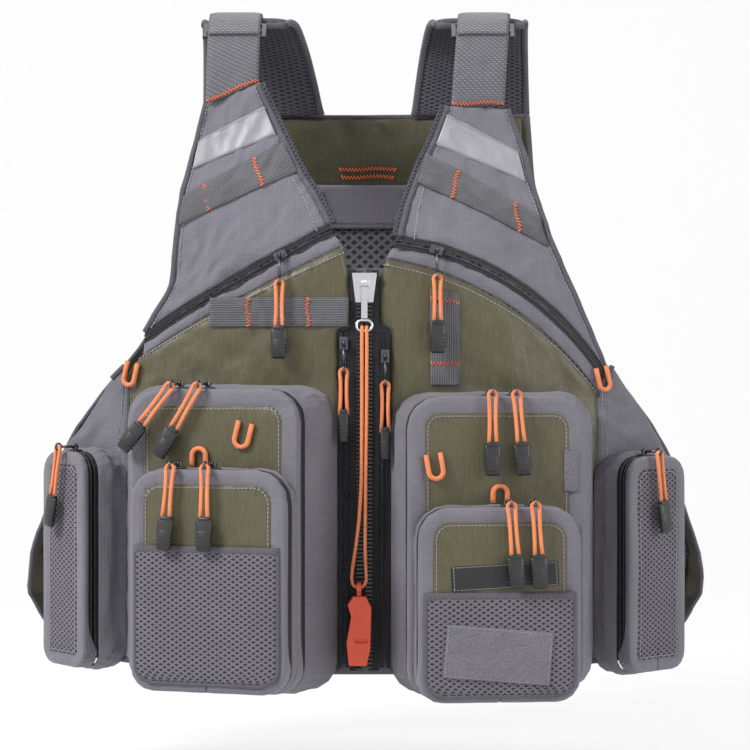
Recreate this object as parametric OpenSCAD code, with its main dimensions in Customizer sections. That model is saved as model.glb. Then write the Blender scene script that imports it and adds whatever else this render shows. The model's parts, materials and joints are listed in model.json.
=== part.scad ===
// Fishing vest with six zipped pockets, webbing shoulder straps and a whistle on a lanyard.
// Millimetres. +Z is up, the front faces -Y and +X is the wearer's left.
// Heights are measured from the bottom of the pockets, and from_loop() then moves everything
// so that the origin is the middle of the hang loop behind the collar.

/* [Body] */
// Half the width of the body at the side seams
body_half_w = 272; // [260:1:330]
// Depth from the middle of the body to the front of the chest
body_half_d = 98; // [85:1:120]
// Depth from the middle of the body to the neck
neck_half_d = 62; // [55:1:75]
// How far the back hem stands out sideways past the side seam
back_flare = 30; // [20:1:45]
// Thickness of a lined panel
panel_t = 3; // [2:0.1:4]
// Gap between sewn pieces
seam = 0.4; // [0.3:0.05:0.6]

/* [Shoulders] */
// Height of the top of the shoulder arch
shoulder_top = 601; // [590:1:640]
// Width of the shoulder webbing
strap_w = 46; // [36:1:50]
// Thickness of the shoulder webbing
strap_t = 2; // [1.5:0.1:2.5]
// Thickness of the shoulder pads
pad_t = 8; // [5:0.5:12]

/* [Webbing] */
// Width of the sewn attachment webbing
webbing_w = 25; // [20:1:30]
// Thickness of the attachment webbing
webbing_t = 1.6; // [1.2:0.1:2]
// Thickness of the reflective tape
tape_t = 0.6; // [0.4:0.1:1]
// Diameter of the cord of the gear loops
gear_cord_d = 4.2; // [3:0.1:5]

/* [Big pockets] */
// Width of the face of a big pocket
big_w = 149; // [140:1:152]
// Height of the face of a big pocket
big_h = 253; // [240:1:256]
// Depth of a big pocket
big_depth = 46; // [40:1:60]

/* [Small pockets] */
// Width of a small pocket
small_w = 136; // [120:1:140]
// Height of a small pocket
small_h = 170; // [150:1:185]
// Depth of a small pocket
small_depth = 30; // [26:1:40]

/* [Side pockets] */
// Width of the face of a side pocket
side_w = 68; // [60:1:72]
// Height of a side pocket
side_h = 186; // [160:1:190]
// Depth of a side pocket
side_depth = 25; // [24:1:30]

/* [Pocket walls] */
// Thickness of a pocket wall
wall_t = 2.4; // [2:0.1:3]
// Visible width of each half of a pocket zip
half_zip_w = 3.6; // [3:0.1:5]
// Gap between the two rows of teeth, where the slider's divider runs
zip_gap = 1.6; // [1.5:0.1:2]
// Thickness of a zip tape
zip_t = 1; // [0.8:0.1:1.2]

/* [Zip sliders] */
// Clearance between a slider and what it runs past
run_gap = 0.3; // [0.25:0.05:0.4]
// Length of a pocket slider
slider_l = 11; // [9:0.5:13]
// Width of a pocket slider
slider_w = 7; // [6:0.5:7]
// Thickness of a slider plate
plate_t = 1.2; // [1:0.1:1.6]
// Diameter of the pin that holds a pull
pin_d = 1.6; // [1.4:0.1:2]
// Diameter of the cord of a pull
pull_cord_d = 3.2; // [2.5:0.1:3.4]
// Length of the cord loop of a pull
pull_cord_l = 44; // [30:1:50]
// Width of the rubber grip on a pull
grip_w = 14; // [11:0.5:15]
// Length of the rubber grip on a pull
grip_l = 26; // [20:1:30]
// Thickness of the rubber grip on a pull
grip_t = 5.4; // [5:0.1:6]

/* [Front zip] */
// Height of the bottom stop of the front zip
front_zip_bottom = 30; // [20:1:60]
// Height of the top of the front zip
front_zip_top = 370; // [360:1:375]
// Width of the front slider
front_slider_w = 21; // [19:0.5:22]
// Length of the front slider
front_slider_l = 25; // [20:1:28]

/* [Lanyard] */
// Diameter of the whistle cord
lanyard_d = 3; // [2.5:0.1:3.5]
// Height of the whistle without its eye
whistle_h = 58; // [50:1:70]
// Width of the whistle
whistle_w = 21; // [16:1:24]
// Thickness of the whistle
whistle_t = 12; // [10:1:16]

/* [Hidden] */
$fn = 32;

LEFT = 1;
RIGHT = -1;
FABRIC_GREY = "#7e7c86";
OLIVE = "#5e5a44";
WEBBING = "#6f7274";
ORANGE = "#f58a4b";
BLACK = "#2e2e31";
SILVER = "#d8d8da";
GUNMETAL = "#55555a";
DARK_MESH = "#34343b";

// ---------- the body's surface ----------
lean_from = 380;
lean_h = 140;
flare_from = 212;
flare_h = 127;
loop_at = [0, neck_half_d + panel_t + 7, 506];

function lerp(a, b, t) = a + (b - a) * t;
function ease(t) = let (c = min(max(t, 0), 1)) c * c * (3 - 2 * c);
function half_d(z) = lerp(body_half_d, neck_half_d, ease((z - lean_from) / lean_h));
function back_half_w(z) = body_half_w + 2 + back_flare * ease((flare_from - z) / flare_h);

// A point on an oval of half width a and half depth b, "out" outside it. u = 0 is the front.
function oval(a, b, u, z, out) =
  let (n = [b * sin(u), -a * cos(u)], k = out / norm(n))
  [a * sin(u) + n.x * k, -b * cos(u) + n.y * k, z];

// Angle on the front of the body at a sideways distance x. Distances are for a body 272 wide.
drawn_half_w = 272;
function angle_at(x) = asin(x / drawn_half_w);
function front_at(x, z, out) = oval(body_half_w, half_d(z), angle_at(x), z, out);
function back_at(u, z, out) = oval(back_half_w(z), half_d(z), 180 - u, z, out);

// ---------- solids from points ----------
function split4(a, b, c, d) = [[a, b, c], [a, c, d]];

// A thick sheet between two grids of points, rows upwards and columns to the right seen from outside
module slab(outer, inner, flip = false) {
  rows = len(outer);
  cols = len(outer[0]);
  n = rows * cols;
  function o(r, c) = r * cols + c;
  function i(r, c) = n + r * cols + c;
  // the same diagonal on both sides, so that layers laid on each other stay apart
  faces = concat(
    [for (r = [0:rows - 2]) for (c = [0:cols - 2])
      each split4(o(r, c), o(r + 1, c), o(r + 1, c + 1), o(r, c + 1))],
    [for (r = [0:rows - 2]) for (c = [0:cols - 2])
      each split4(i(r, c), i(r, c + 1), i(r + 1, c + 1), i(r + 1, c))],
    [for (c = [0:cols - 2]) each split4(o(0, c), o(0, c + 1), i(0, c + 1), i(0, c))],
    [for (c = [0:cols - 2])
      each split4(o(rows - 1, c + 1), o(rows - 1, c), i(rows - 1, c), i(rows - 1, c + 1))],
    [for (r = [0:rows - 2]) each split4(o(r + 1, 0), o(r, 0), i(r, 0), i(r + 1, 0))],
    [for (r = [0:rows - 2])
      each split4(o(r, cols - 1), o(r + 1, cols - 1), i(r + 1, cols - 1), i(r, cols - 1))]
  );
  points = concat([for (row = outer) each row], [for (row = inner) each row]);
  polyhedron(points, flip ? [for (f = faces) [f[2], f[1], f[0]]] : faces);
}

function middle(loop) = [for (a = [0:2]) ([for (p = loop) p[a]] * [for (p = loop) 1]) / len(loop)];

// A solid through a stack of closed loops, capped at both ends, or joined up as a ring
module skin(loops, ring = false) {
  m = len(loops[0]);
  n = len(loops);
  last = ring ? n - 1 : n - 2;
  sides = [for (k = [0:last]) for (j = [0:m - 1])
    let (a = k * m, b = ((k + 1) % n) * m, q = (j + 1) % m)
    each split4(a + j, b + j, b + q, a + q)];
  caps = [for (j = [0:m - 1]) let (q = (j + 1) % m)
    each [[n * m, j, q], [n * m + 1, (n - 1) * m + q, (n - 1) * m + j]]];
  points = [for (loop = loops) each loop];
  if (ring) polyhedron(points, sides);
  else polyhedron(concat(points, [middle(loops[0]), middle(loops[n - 1])]), concat(sides, caps));
}

// Everything is drawn from the pocket bottoms upwards and moved to the hang loop here
module from_loop() translate(-loop_at) children();

// ---------- panels on the body ----------
// A station is [outer x, outer z, inner x, inner z, bulge] on one side of the front
function station_row(s, side, cols, out) =
  let (bulge = len(s) > 4 ? s[4] : 0)
  [for (j = [0:cols])
    let (t = side == RIGHT ? j / cols : 1 - j / cols,
         u = side * lerp(angle_at(s[0]), angle_at(s[2]), t),
         z = lerp(s[1], s[3], t) + bulge * 4 * t * (1 - t))
    oval(body_half_w, half_d(z), u, z, out)];

// Stations with one more halfway between each two, so that layers on the curve stay apart
function whole(s) = len(s) > 4 ? s : [s[0], s[1], s[2], s[3], 0];
function halved(stations) =
  [for (k = [0:len(stations) - 1]) each
    k == 0 ? [whole(stations[0])] : [(whole(stations[k - 1]) + whole(stations[k])) / 2, whole(stations[k])]];

module front_piece(stations, side, cols, out, thick) {
  rows = halved(stations);
  slab([for (s = rows) station_row(s, side, cols, out + thick)],
       [for (s = rows) station_row(s, side, cols, out)]);
}

// A back station is [z, half width as a share of the body's]
function back_row(s, cols, out, skip) =
  [for (j = [skip:cols - skip]) back_at(asin(s[1]) * (2 * j / cols - 1), s[0], out)];

module back_piece(stations, out, thick, cols = 18, skip = 0)
  slab([for (s = stations) back_row(s, cols, out + thick, skip)],
       [for (s = stations) back_row(s, cols, out, skip)], flip = true);

// These stay beside the straight zips however wide the body is
slit_x = 17.5;
slit_edge = (slit_x + zip_gap / 2 + half_zip_w + seam) * drawn_half_w / body_half_w;
front_edge = 12.9 * drawn_half_w / body_half_w;
layer = panel_t + seam;

// Below the chest band, between the front zip and the wing
FRONT_RIGHT = [
  [196, 34, slit_edge, 30], [200, 150, slit_edge, 150], [202, 240, slit_edge, 260],
  [204, 280, slit_edge, 319.7], [204, 281, front_edge, 320.3], [199, 290, front_edge, 362],
  [191, 297, 18.5, 391]];
FRONT_LEFT = [
  [196, 34, slit_edge, 30], [199, 150, slit_edge, 150], [200, 225, slit_edge, 250, 4],
  [201, 252, slit_edge, 319.7, 14], [201, 253, front_edge, 320.3, 14], [201, 260, front_edge, 358, 17],
  [200, 266, 18.5, 380, 20]];

// The wing runs from there to the side seam
SIDE_SEAM = 271.998;
WING_RIGHT = [
  [268, 42, 196.4, 34], [SIDE_SEAM, 120, 200.4, 150], [SIDE_SEAM, 200, 202.4, 240],
  [262, 219, 203.4, 262], [249, 234, 204.4, 279], [218, 278, 207, 289]];
WING_LEFT = [
  [268, 42, 196.4, 34], [SIDE_SEAM, 120, 199.4, 150], [SIDE_SEAM, 200, 200.4, 225],
  [262, 219, 201.2, 245], [243, 249, 201.4, 259], [214, 289, 205, 268]];

// Chest band below the chest zip, and the yoke above it
// The chest zip lies between these two stations
CHEST_RIGHT = [[189.5, 308, 26, 400, 0], [189, 318, 30, 410, 0]];
CHEST_LEFT = [[205, 276, 24, 389, 22], [208, 286, 30, 399, 22]];
BAND_RIGHT = [[190.6, 297.4, 18.6, 391.6], [190, 303, 22, 396], CHEST_RIGHT[0]];
BAND_LEFT = [[201, 267, 18.6, 380.6, 20], [203, 271.5, 21, 385, 21], CHEST_LEFT[0]];
YOKE_RIGHT = [
  CHEST_RIGHT[1], [166, 357, 42, 434], [160, 405, 54, 452],
  [156, 440, 64, 472], [148, 474, 76, 497], [138, 517, 93, 534]];
YOKE_LEFT = [
  CHEST_LEFT[1], [184, 342, 36, 424, 12], [160, 394, 44, 446, 4],
  [147, 436, 52, 466], [138, 472, 62, 487], [124, 512, 72, 514]];

module front_panel(side) color(OLIVE) from_loop()
  front_piece(side == LEFT ? FRONT_LEFT : FRONT_RIGHT, side, 9, 0, panel_t);

module side_wings() color(FABRIC_GREY) from_loop() {
  front_piece(WING_RIGHT, RIGHT, 5, 0, panel_t);
  front_piece(WING_LEFT, LEFT, 5, 0, panel_t);
}

module chest_bands() color(FABRIC_GREY) from_loop() {
  front_piece(BAND_RIGHT, RIGHT, 9, 0, panel_t);
  front_piece(BAND_LEFT, LEFT, 9, 0, panel_t);
}

module front_yoke(side) color(FABRIC_GREY) from_loop()
  front_piece(side == LEFT ? YOKE_LEFT : YOKE_RIGHT, side, 8, 0, panel_t);

module reflective_tapes() color("#a3a1a5") from_loop() {
  front_piece([[148, 459, 76.5, 489], [143, 485, 87, 514]], RIGHT, 4, layer, tape_t);
  front_piece([[139, 447, 61.5, 480], [132, 475, 71.5, 507]], LEFT, 4, layer, tape_t);
}

webbing_rise = webbing_w * 1.04;
module webbing_strips() color(WEBBING) from_loop() {
  // slanted across each yoke
  front_piece([[158, 409, 57, 456], [155, 409 + webbing_rise, 70, 456 + webbing_rise]],
              RIGHT, 6, layer, webbing_t);
  front_piece([[156, 391, 45, 446], [149, 391 + webbing_rise, 53, 446 + webbing_rise]],
              LEFT, 6, layer, webbing_t);
  // level on the right chest, upright on the left
  front_piece([[131, 322, 13.5, 322], [131, 322 + webbing_w, 13.5, 322 + webbing_w]],
              RIGHT, 6, layer, webbing_t);
  front_piece([[68 + webbing_w / 2, 272, 68 - webbing_w / 2, 272],
               [68 + webbing_w / 2, 350, 68 - webbing_w / 2, 355]], LEFT, 2, layer, webbing_t);
}

// ---------- back ----------
BACK_HEM = 44;
BACK_TOP = 520;
BACK_RIB = 421;
BACK_YOKE_LOW = 459;
BACK_SHELL = [
  [BACK_HEM, 0.93], [64, 0.965], [85, 0.99], [120, 1], [162, 1], [200, 1], [212, 0.985], [235, 0.945],
  [262, 0.88], [310, 0.75], [360, 0.65], [420, 0.585], [470, 0.56], [495, 0.552],
  [BACK_TOP, 0.545]];
BACK_LINING = [for (r = BACK_SHELL) if (r[0] > BACK_HEM && r[0] < BACK_RIB) r];
BACK_BAND = [[BACK_RIB, 0.55], [BACK_YOKE_LOW - seam, 0.54]];
BACK_YOKE = [[BACK_YOKE_LOW, 0.54], [490, 0.53], [BACK_TOP - 2, 0.525]];

lining_out = -2 - 2 * seam;
module back_panel() color(OLIVE) from_loop() back_piece(BACK_SHELL, 0, panel_t - 0.6);
module back_lining() color(DARK_MESH) from_loop() back_piece(BACK_LINING, lining_out, 2, skip = 1);
module back_band() color(FABRIC_GREY) from_loop() back_piece(BACK_BAND, lining_out, 2);
module back_yoke() color(OLIVE) from_loop() back_piece(BACK_YOKE, lining_out, 2);

hang_gap = 6;
hang_w = 48;
module hang_loop() color(BLACK) from_loop()
  translate([0, loop_at.y, loop_at.z]) difference() {
    translate([0, -0.2, 0]) cube([hang_w + 12, hang_gap + 3.4, 10], center = true);
    translate([0, -1.5, 0]) cube([hang_w, hang_gap, 12], center = true);
  }

// ---------- shoulders ----------
// The arch over a shoulder, from the front yoke to the back, as [y, z]
arch_front = neck_half_d - 4;
arch_back = neck_half_d - 1;
ARCH = [
  [-arch_front, 514], [-arch_front + 6, 545], [-arch_front + 20, 575], [-14, shoulder_top - 4],
  [14, shoulder_top - 1], [arch_back - 22, 582], [arch_back - 8, 553], [arch_back, 522]];
arch_n = len(ARCH) - 1;
function spline(p, q, r, s, t) =
  ((2 * q) + (r - p) * t + (2 * p - 5 * q + 4 * r - s) * t * t + (3 * q - p - 3 * r + s) * t * t * t) / 2;
function arch_at(t) =
  let (k = min(floor(t * arch_n), arch_n - 1), f = t * arch_n - k)
  spline(ARCH[max(k - 1, 0)], ARCH[k], ARCH[k + 1], ARCH[min(k + 2, arch_n)], f);
function arch_out(t) =
  let (d = arch_at(min(t + 0.01, 1)) - arch_at(max(t - 0.01, 0))) [-d[1], d[0]] / norm(d);

// A band over the arch from t0 (at each edge) to t1: edges xa and xb are [front, back] pairs
function arch_rows(t0, t1, n, xa, xb, out) =
  [for (i = [0:n]) [for (f = [0, 1])
    let (t = lerp(lerp(t0[0], t0[1], f), t1, i / n), p = arch_at(t) + arch_out(t) * out)
    [lerp(lerp(xa[0], xa[1], t), lerp(xb[0], xb[1], t), f), p[0], p[1]]]];
module arch_band(t0, t1, n, xa, xb, out, thick)
  slab(arch_rows(t0, t1, n, xa, xb, out + thick), arch_rows(t0, t1, n, xa, xb, out));

strap_x = [[-115, -115], [98, 116]];
pad_inner_x = [[-92, -40], [76, 45]];
pad_outer_x = [[-140, -147], [138, 149]];
strap_from = [[0.022, 0.103], [0.008, 0.012]];
pad_from = 0.41;
pad_gap = 0.3;

module shoulder_straps() color(WEBBING) from_loop() for (k = [0, 1]) {
  a = [strap_x[k][0] - strap_w / 2, strap_x[k][1] - strap_w / 2];
  b = [strap_x[k][0] + strap_w / 2, strap_x[k][1] + strap_w / 2];
  arch_band(strap_from[k], 0.64, 14, a, b, seam, strap_t);
  // the folded tail on top
  arch_band([0.3, 0.3], 0.6, 7, a, b, strap_t + 2 * seam, strap_t);
}

module shoulder_pads() color(DARK_MESH) from_loop() for (k = [0, 1])
  arch_band([pad_from, pad_from], 1, 14, k == 0 ? pad_outer_x[k] : pad_inner_x[k],
            k == 0 ? pad_inner_x[k] : pad_outer_x[k], -pad_t - pad_gap, pad_t);

buckle_l = 20;
buckle_t = 3.2;
module strap_buckles() color(BLACK) from_loop() for (k = [0, 1]) {
  t = pad_from - 0.058;
  p = arch_at(t) - arch_out(t) * (buckle_t / 2 + 3 * seam);
  tilt = atan2(arch_out(t)[1], arch_out(t)[0]) - 90;
  translate([lerp(strap_x[k][0], strap_x[k][1], t), p[0], p[1]]) rotate([tilt, 0, 0]) difference() {
    cube([strap_w + 10, buckle_l, buckle_t], center = true);
    for (s = [-1, 1]) translate([0, s * 5, 0]) cube([strap_w + 1, 5.5, buckle_t + 1], center = true);
  }
}

// ---------- pockets ----------
// Outline of a pocket seen from the front, clockwise from the middle of its bottom
function arc(cx, cz, r, from) =
  [for (i = [0:4]) let (a = from - 22.5 * i) [cx + r * cos(a), cz + r * sin(a)]];
function outline(w, h, rt, rb, dx = 0, dz = 0) =
  let (x = w / 2, z = h / 2, p = concat(
    [[0, -z], [-(x - rb) / 2, -z]], arc(-x + rb, -z + rb, rb, -90), [[-x, 0]],
    arc(-x + rt, z - rt, rt, 180), [[-(x - rt) / 3, z], [(x - rt) / 3, z]],
    arc(x - rt, z - rt, rt, 90), [[x, 0]], arc(x - rb, -z + rb, rb, 0), [[(x - rb) / 2, -z]]))
  [for (q = p) [q[0] + dx, q[1] + dz]];
ZIP_FIRST = 6;
ZIP_LAST = 21;

// A pocket is [x of its seat on the body, middle z, turn, face w, face h, depth, rim,
//              seat w, seat h, seat shift, top radius, bottom radius]
BIG_RIGHT = [-113, 143, 16, big_w, big_h, big_depth, 10, big_w + 36, big_h + 6, -3, 27, 22];
BIG_LEFT = [106, 139, -5, big_w, big_h - 4, big_depth, 10, big_w + 28, big_h + 2, 4, 27, 22];
SIDE_RIGHT = [-241, 122, 50, side_w, side_h, side_depth, 6, side_w + 8, side_h + 4, 0, 20, 16];
SIDE_LEFT = [236, 118, -40, side_w + 4, side_h, side_depth, 6, side_w + 12, side_h + 4, 0, 20, 16];
SMALL_RIGHT = [6, -31, 0, small_w, small_h + 13, small_depth, 8, small_w, small_h + 13, 0, 27, 20];
SMALL_LEFT = [-2, -46, 0, small_w - 2, small_h - 10, small_depth, 8, small_w - 2, small_h - 10, 0, 26, 20];

// Middle of the face of a pocket that sits on the body
function turn_out(p) = [-sin(p[2]), -cos(p[2])];
function face_at(p) =
  let (seat = front_at(p[0], p[1], layer), n = turn_out(p))
  [seat.x + n[0] * p[5], seat.y + n[1] * p[5], p[1]];
module on_pocket(p) translate(face_at(p)) rotate([0, 0, -p[2]]) children();
module on_small(big, s) on_pocket(big) translate([s[0], -s[5] - seam, s[1]]) children();

// How far behind the face's plane the body lies, for a point [x, z] of the pocket's outline
function seat_depth(p, q, out) =
  let (f = face_at(p), s = sin(p[2]), c = cos(p[2]), x0 = f.x + q[0] * c, y0 = f.y - q[0] * s,
       a2 = pow(body_half_w + out, 2), b2 = pow(body_half_d + out, 2),
       k2 = b2 * s * s + a2 * c * c, k1 = b2 * x0 * s + a2 * y0 * c,
       k0 = b2 * x0 * x0 + a2 * y0 * y0 - a2 * b2)
  (-k1 - sqrt(max(k1 * k1 - k2 * k0, 0))) / k2;

function zip_back(p) = p[6] + 2 * seam + 2 * half_zip_w + zip_gap;
function ring_at(q, y) = [for (v = q) [v[0], y, v[1]]];
function face_line(p, inset) =
  outline(p[3] - 2 * inset, p[4] - 2 * inset, p[10] - inset, p[11] - inset);
function seat_line(p, inset) =
  outline(p[7] - 2 * inset, p[8] - 2 * inset, p[10] + 3 - inset, p[11] + 3 - inset, p[9]);

// The gusset between the body and the zip. A flat seat lies at the pocket's own depth.
module gusset(p, flat = false) {
  outer = seat_line(p, 0);
  inner = seat_line(p, wall_t);
  function seat(q) = [for (v = q) [v[0], flat ? p[5] : seat_depth(p, v, layer + 0.4), v[1]]];
  skin([ring_at(face_line(p, 0), zip_back(p)), seat(outer), seat(inner),
        ring_at(face_line(p, wall_t), zip_back(p))], ring = true);
}

// The face with its rim, which reaches back to the gusset along the bottom, where it is sewn on
module lid(p) {
  edge = 4;
  function rim_at(q) = [for (i = [0:len(q) - 1])
    [q[i][0], i >= ZIP_FIRST && i <= ZIP_LAST ? p[6] : zip_back(p) - seam, q[i][1]]];
  skin([ring_at(face_line(p, edge), 0), ring_at(face_line(p, 0), edge), rim_at(face_line(p, 0)),
        rim_at(face_line(p, wall_t)), ring_at(face_line(p, wall_t), edge + 0.5),
        ring_at(face_line(p, edge + wall_t), wall_t)]);
}

// One half of the zip round a pocket, y0 to y1 behind the face
module zip_half(p, y0, y1) {
  top = face_line(p, (wall_t - zip_t) / 2);
  low = face_line(p, (wall_t + zip_t) / 2);
  skin([for (i = [ZIP_FIRST:ZIP_LAST])
    [[top[i][0], y0, top[i][1]], [low[i][0], y0, low[i][1]],
     [low[i][0], y1, low[i][1]], [top[i][0], y1, top[i][1]]]]);
}
module zip_round(p) {
  first = p[6] + seam;
  zip_half(p, first, first + half_zip_w);
  zip_half(p, first + half_zip_w + zip_gap, first + 2 * half_zip_w + zip_gap);
}
function zip_line(p) = p[6] + seam + half_zip_w + zip_gap / 2;

module big_pocket_gussets() color(FABRIC_GREY) from_loop()
  for (p = [BIG_RIGHT, BIG_LEFT]) on_pocket(p) gusset(p);
module big_pocket_lids() color(OLIVE) from_loop()
  for (p = [BIG_RIGHT, BIG_LEFT]) on_pocket(p) lid(p);
module small_pocket_gussets() color(FABRIC_GREY) from_loop() {
  on_small(BIG_RIGHT, SMALL_RIGHT) gusset(SMALL_RIGHT, true);
  on_small(BIG_LEFT, SMALL_LEFT) gusset(SMALL_LEFT, true);
}
module small_pocket_lids() color(OLIVE) from_loop() {
  on_small(BIG_RIGHT, SMALL_RIGHT) lid(SMALL_RIGHT);
  on_small(BIG_LEFT, SMALL_LEFT) lid(SMALL_LEFT);
}
module side_pocket_gussets() color(FABRIC_GREY) from_loop()
  for (p = [SIDE_RIGHT, SIDE_LEFT]) on_pocket(p) gusset(p);
module side_pocket_lids() color(FABRIC_GREY) from_loop()
  for (p = [SIDE_RIGHT, SIDE_LEFT]) on_pocket(p) lid(p);

// Patch pockets of mesh on the small pockets: width, height, up from the small pocket's bottom
mesh_t = 3;
module mesh_pouch(p, h, up) translate([0, -mesh_t / 2 - seam, -p[4] / 2 + up + h / 2])
  cube([p[3] - 12, mesh_t, h], center = true);
module mesh_pockets() color(DARK_MESH) from_loop() {
  on_small(BIG_RIGHT, SMALL_RIGHT) mesh_pouch(SMALL_RIGHT, 112, 8);
  on_small(BIG_LEFT, SMALL_LEFT) mesh_pouch(SMALL_LEFT, 84, 6);
}

patch_size = [88, 44];
patch_t = 2;
patch_up = 40;
module loop_patch() color("#86838a") from_loop() on_small(BIG_LEFT, SMALL_LEFT)
  translate([-2, -mesh_t - 2 * seam - patch_t / 2, -SMALL_LEFT[4] / 2 + patch_up]) rotate([0, 5, 0])
    cube([patch_size[0], patch_t, patch_size[1]], center = true);

label_size = [88, 20];
module label_patch() color("#1e1e22") from_loop() on_small(BIG_LEFT, SMALL_LEFT)
  translate([4, -seam - 0.6, 24]) rotate([0, -3, 0])
    cube([label_size[0], 1.2, label_size[1]], center = true);

// ---------- zips in the front ----------
tooth_t = 4.4;
tooth_w = 6;
tape_mid = panel_t / 2;
front_y = -body_half_d - tape_mid;
module front_zip() color(BLACK) from_loop() for (s = [-1, 1]) {
  h = front_zip_top - front_zip_bottom;
  inner = zip_gap / 2;
  translate([s * (inner + tooth_w / 2), front_y, front_zip_bottom + h / 2])
    cube([tooth_w, tooth_t, h], center = true);
  translate([s * (inner + tooth_w + 2.75), front_y, front_zip_bottom + h / 2])
    cube([5.7, zip_t, h], center = true);
}

module chest_tape(edges, side) {
  low = edges[0];
  high = edges[1];
  mid = (low + high) / 2;
  gap = zip_gap / 2 / cos(28);
  function raised(s, d) = [s[0], s[1] + d, s[2], s[3] + d, s[4]];
  front_piece([raised(low, seam), raised(mid, -gap)], side, 9, tape_mid - zip_t / 2, zip_t);
  front_piece([raised(mid, gap), raised(high, -seam)], side, 9, tape_mid - zip_t / 2, zip_t);
}

module zip_tapes() color(BLACK) from_loop() {
  for (p = [BIG_RIGHT, BIG_LEFT, SIDE_RIGHT, SIDE_LEFT]) on_pocket(p) zip_round(p);
  on_small(BIG_RIGHT, SMALL_RIGHT) zip_round(SMALL_RIGHT);
  on_small(BIG_LEFT, SMALL_LEFT) zip_round(SMALL_LEFT);
  chest_tape(CHEST_RIGHT, RIGHT);
  chest_tape(CHEST_LEFT, LEFT);
  for (s = [-1, 1]) for (e = [-1, 1])
    translate([s * (slit_x + e * (zip_gap + half_zip_w) / 2), front_y, 175])
      cube([half_zip_w, zip_t, 285], center = true);
}

// ---------- sliders ----------
wall_over_tape = wall_t / 2;
plate_in = wall_over_tape + run_gap;
pin_up = plate_in + plate_t + 2.6;

// A pocket slider. The zip runs along X, the outside is -Y, and crown_turn turns the crown only.
module slider(body_turn = 0) {
  rotate([0, body_turn, 0]) {
    for (s = [-1, 1]) translate([0, s * (plate_in + plate_t / 2), 0])
      cube([slider_l, plate_t, slider_w], center = true);
    translate([-1.5, 0, 0]) cube([3, 2 * plate_in + 0.2, zip_gap - 2 * run_gap], center = true);
  }
  crown_h = pin_up + pin_d / 2 + 0.6 - plate_in - plate_t / 2;
  for (s = [-1, 1]) translate([s * 2.3, -plate_in - plate_t / 2 - crown_h / 2, 0])
    cube([1.4, crown_h, 3.2], center = true);
  translate([0, -pin_up, 0]) rotate([0, 90, 0]) cylinder(d = pin_d, h = 5, center = true);
}

// A pull hangs from its pin at the origin: a link to [0, -reach, -drop], then a cord loop and a grip
eye_t = 2.4;
eye_bore = pin_d + 2 * run_gap;
ring_bore = pull_cord_d + 2 * run_gap;
ring_d = ring_bore + 2.6;
pull_bend = 3.2;
module pull_link(reach, drop, lean) {
  d = norm([reach, drop]);
  tilt = atan2(-drop, -reach);
  difference() {
    union() {
      rotate([0, 90, 0]) cylinder(d = eye_bore + 2, h = eye_t, center = true);
      rotate([tilt, 0, 0]) translate([0, d / 2, 0]) cube([eye_t, d - 3.5, 2.2], center = true);
      translate([0, -reach, -drop]) rotate([0, 90 + lean, 0]) cylinder(d = ring_d, h = eye_t, center = true);
    }
    rotate([0, 90, 0]) cylinder(d = eye_bore, h = eye_t + 5, center = true);
    translate([0, -reach, -drop]) rotate([0, 90 + lean, 0])
      cylinder(d = ring_bore, h = eye_t + 5, center = true);
  }
}
module pull_cord(l) {
  translate([0, 0, -pull_bend]) rotate([90, 0, 0]) rotate_extrude(angle = 180)
    translate([pull_bend, 0]) circle(d = pull_cord_d);
  for (s = [-1, 1]) translate([s * pull_bend, 0, -l]) cylinder(d = pull_cord_d, h = l - pull_bend);
}
module grip(w, l, t) {
  corner = 3;
  rotate([90, 0, 0]) translate([0, 0, -t / 2]) linear_extrude(t) union() {
    translate([-w / 2, -l + corner]) square([w, l - corner]);
    translate([-w / 2 + corner, -l]) square([w - 2 * corner, corner + 1]);
    for (s = [-1, 1]) translate([s * (w / 2 - corner), -l + corner]) circle(r = corner);
  }
}
module pull(reach, drop, lean = 0, away = 0, cord_l = pull_cord_l, w = grip_w) {
  color(GUNMETAL) pull_link(reach, drop, lean);
  translate([0, -reach, -drop]) rotate([-away, lean, 0]) {
    color(ORANGE) pull_cord(cord_l);
    color(BLACK) translate([0, 0, -cord_l]) grip(w, grip_l, grip_t);
  }
}

// Pocket sliders: [name, pocket, big pocket it sits on, x along the top, way it opens, lean]
POCKET_ZIPS = [
  ["big_right_outer", BIG_RIGHT, [], -34, 38],
  ["big_right_inner", BIG_RIGHT, [], -10, 30],
  ["big_left_inner", BIG_LEFT, [], -5, 0],
  ["big_left_outer", BIG_LEFT, [], 15, -5],
  ["small_right_outer", SMALL_RIGHT, BIG_RIGHT, -29, 4],
  ["small_right_inner", SMALL_RIGHT, BIG_RIGHT, 1, 0],
  ["small_left_inner", SMALL_LEFT, BIG_LEFT, 8, -4],
  ["small_left_outer", SMALL_LEFT, BIG_LEFT, 28, -3],
  ["side_right", SIDE_RIGHT, [], 4, 8],
  ["side_left", SIDE_LEFT, [], -6, -4]];
pull_front = 6;

module at_pocket_pin(zip) {
  p = zip[1];
  at = [zip[3], zip_line(p), p[4] / 2 - wall_t / 2 + pin_up];
  if (len(zip[2]) == 0) on_pocket(p) translate(at) children();
  else on_small(zip[2], p) translate(at) children();
}
module pocket_slider(zip) color(GUNMETAL) from_loop() at_pocket_pin(zip)
  translate([0, 0, -pin_up]) rotate([-90, 0, 0]) slider();
module pocket_pull(zip) from_loop() at_pocket_pin(zip)
  pull(zip_line(zip[1]) + pull_front, 0, zip[4], 3);

// Height of a chest zip at a sideways distance x
function station_z(s, x) =
  let (t = (angle_at(s[0]) - angle_at(x)) / (angle_at(s[0]) - angle_at(s[2])))
  lerp(s[1], s[3], t) + s[4] * 4 * t * (1 - t);
function zip_z(edges, x) = (station_z(edges[0], x) + station_z(edges[1], x)) / 2;

slit_run = 90;
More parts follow.
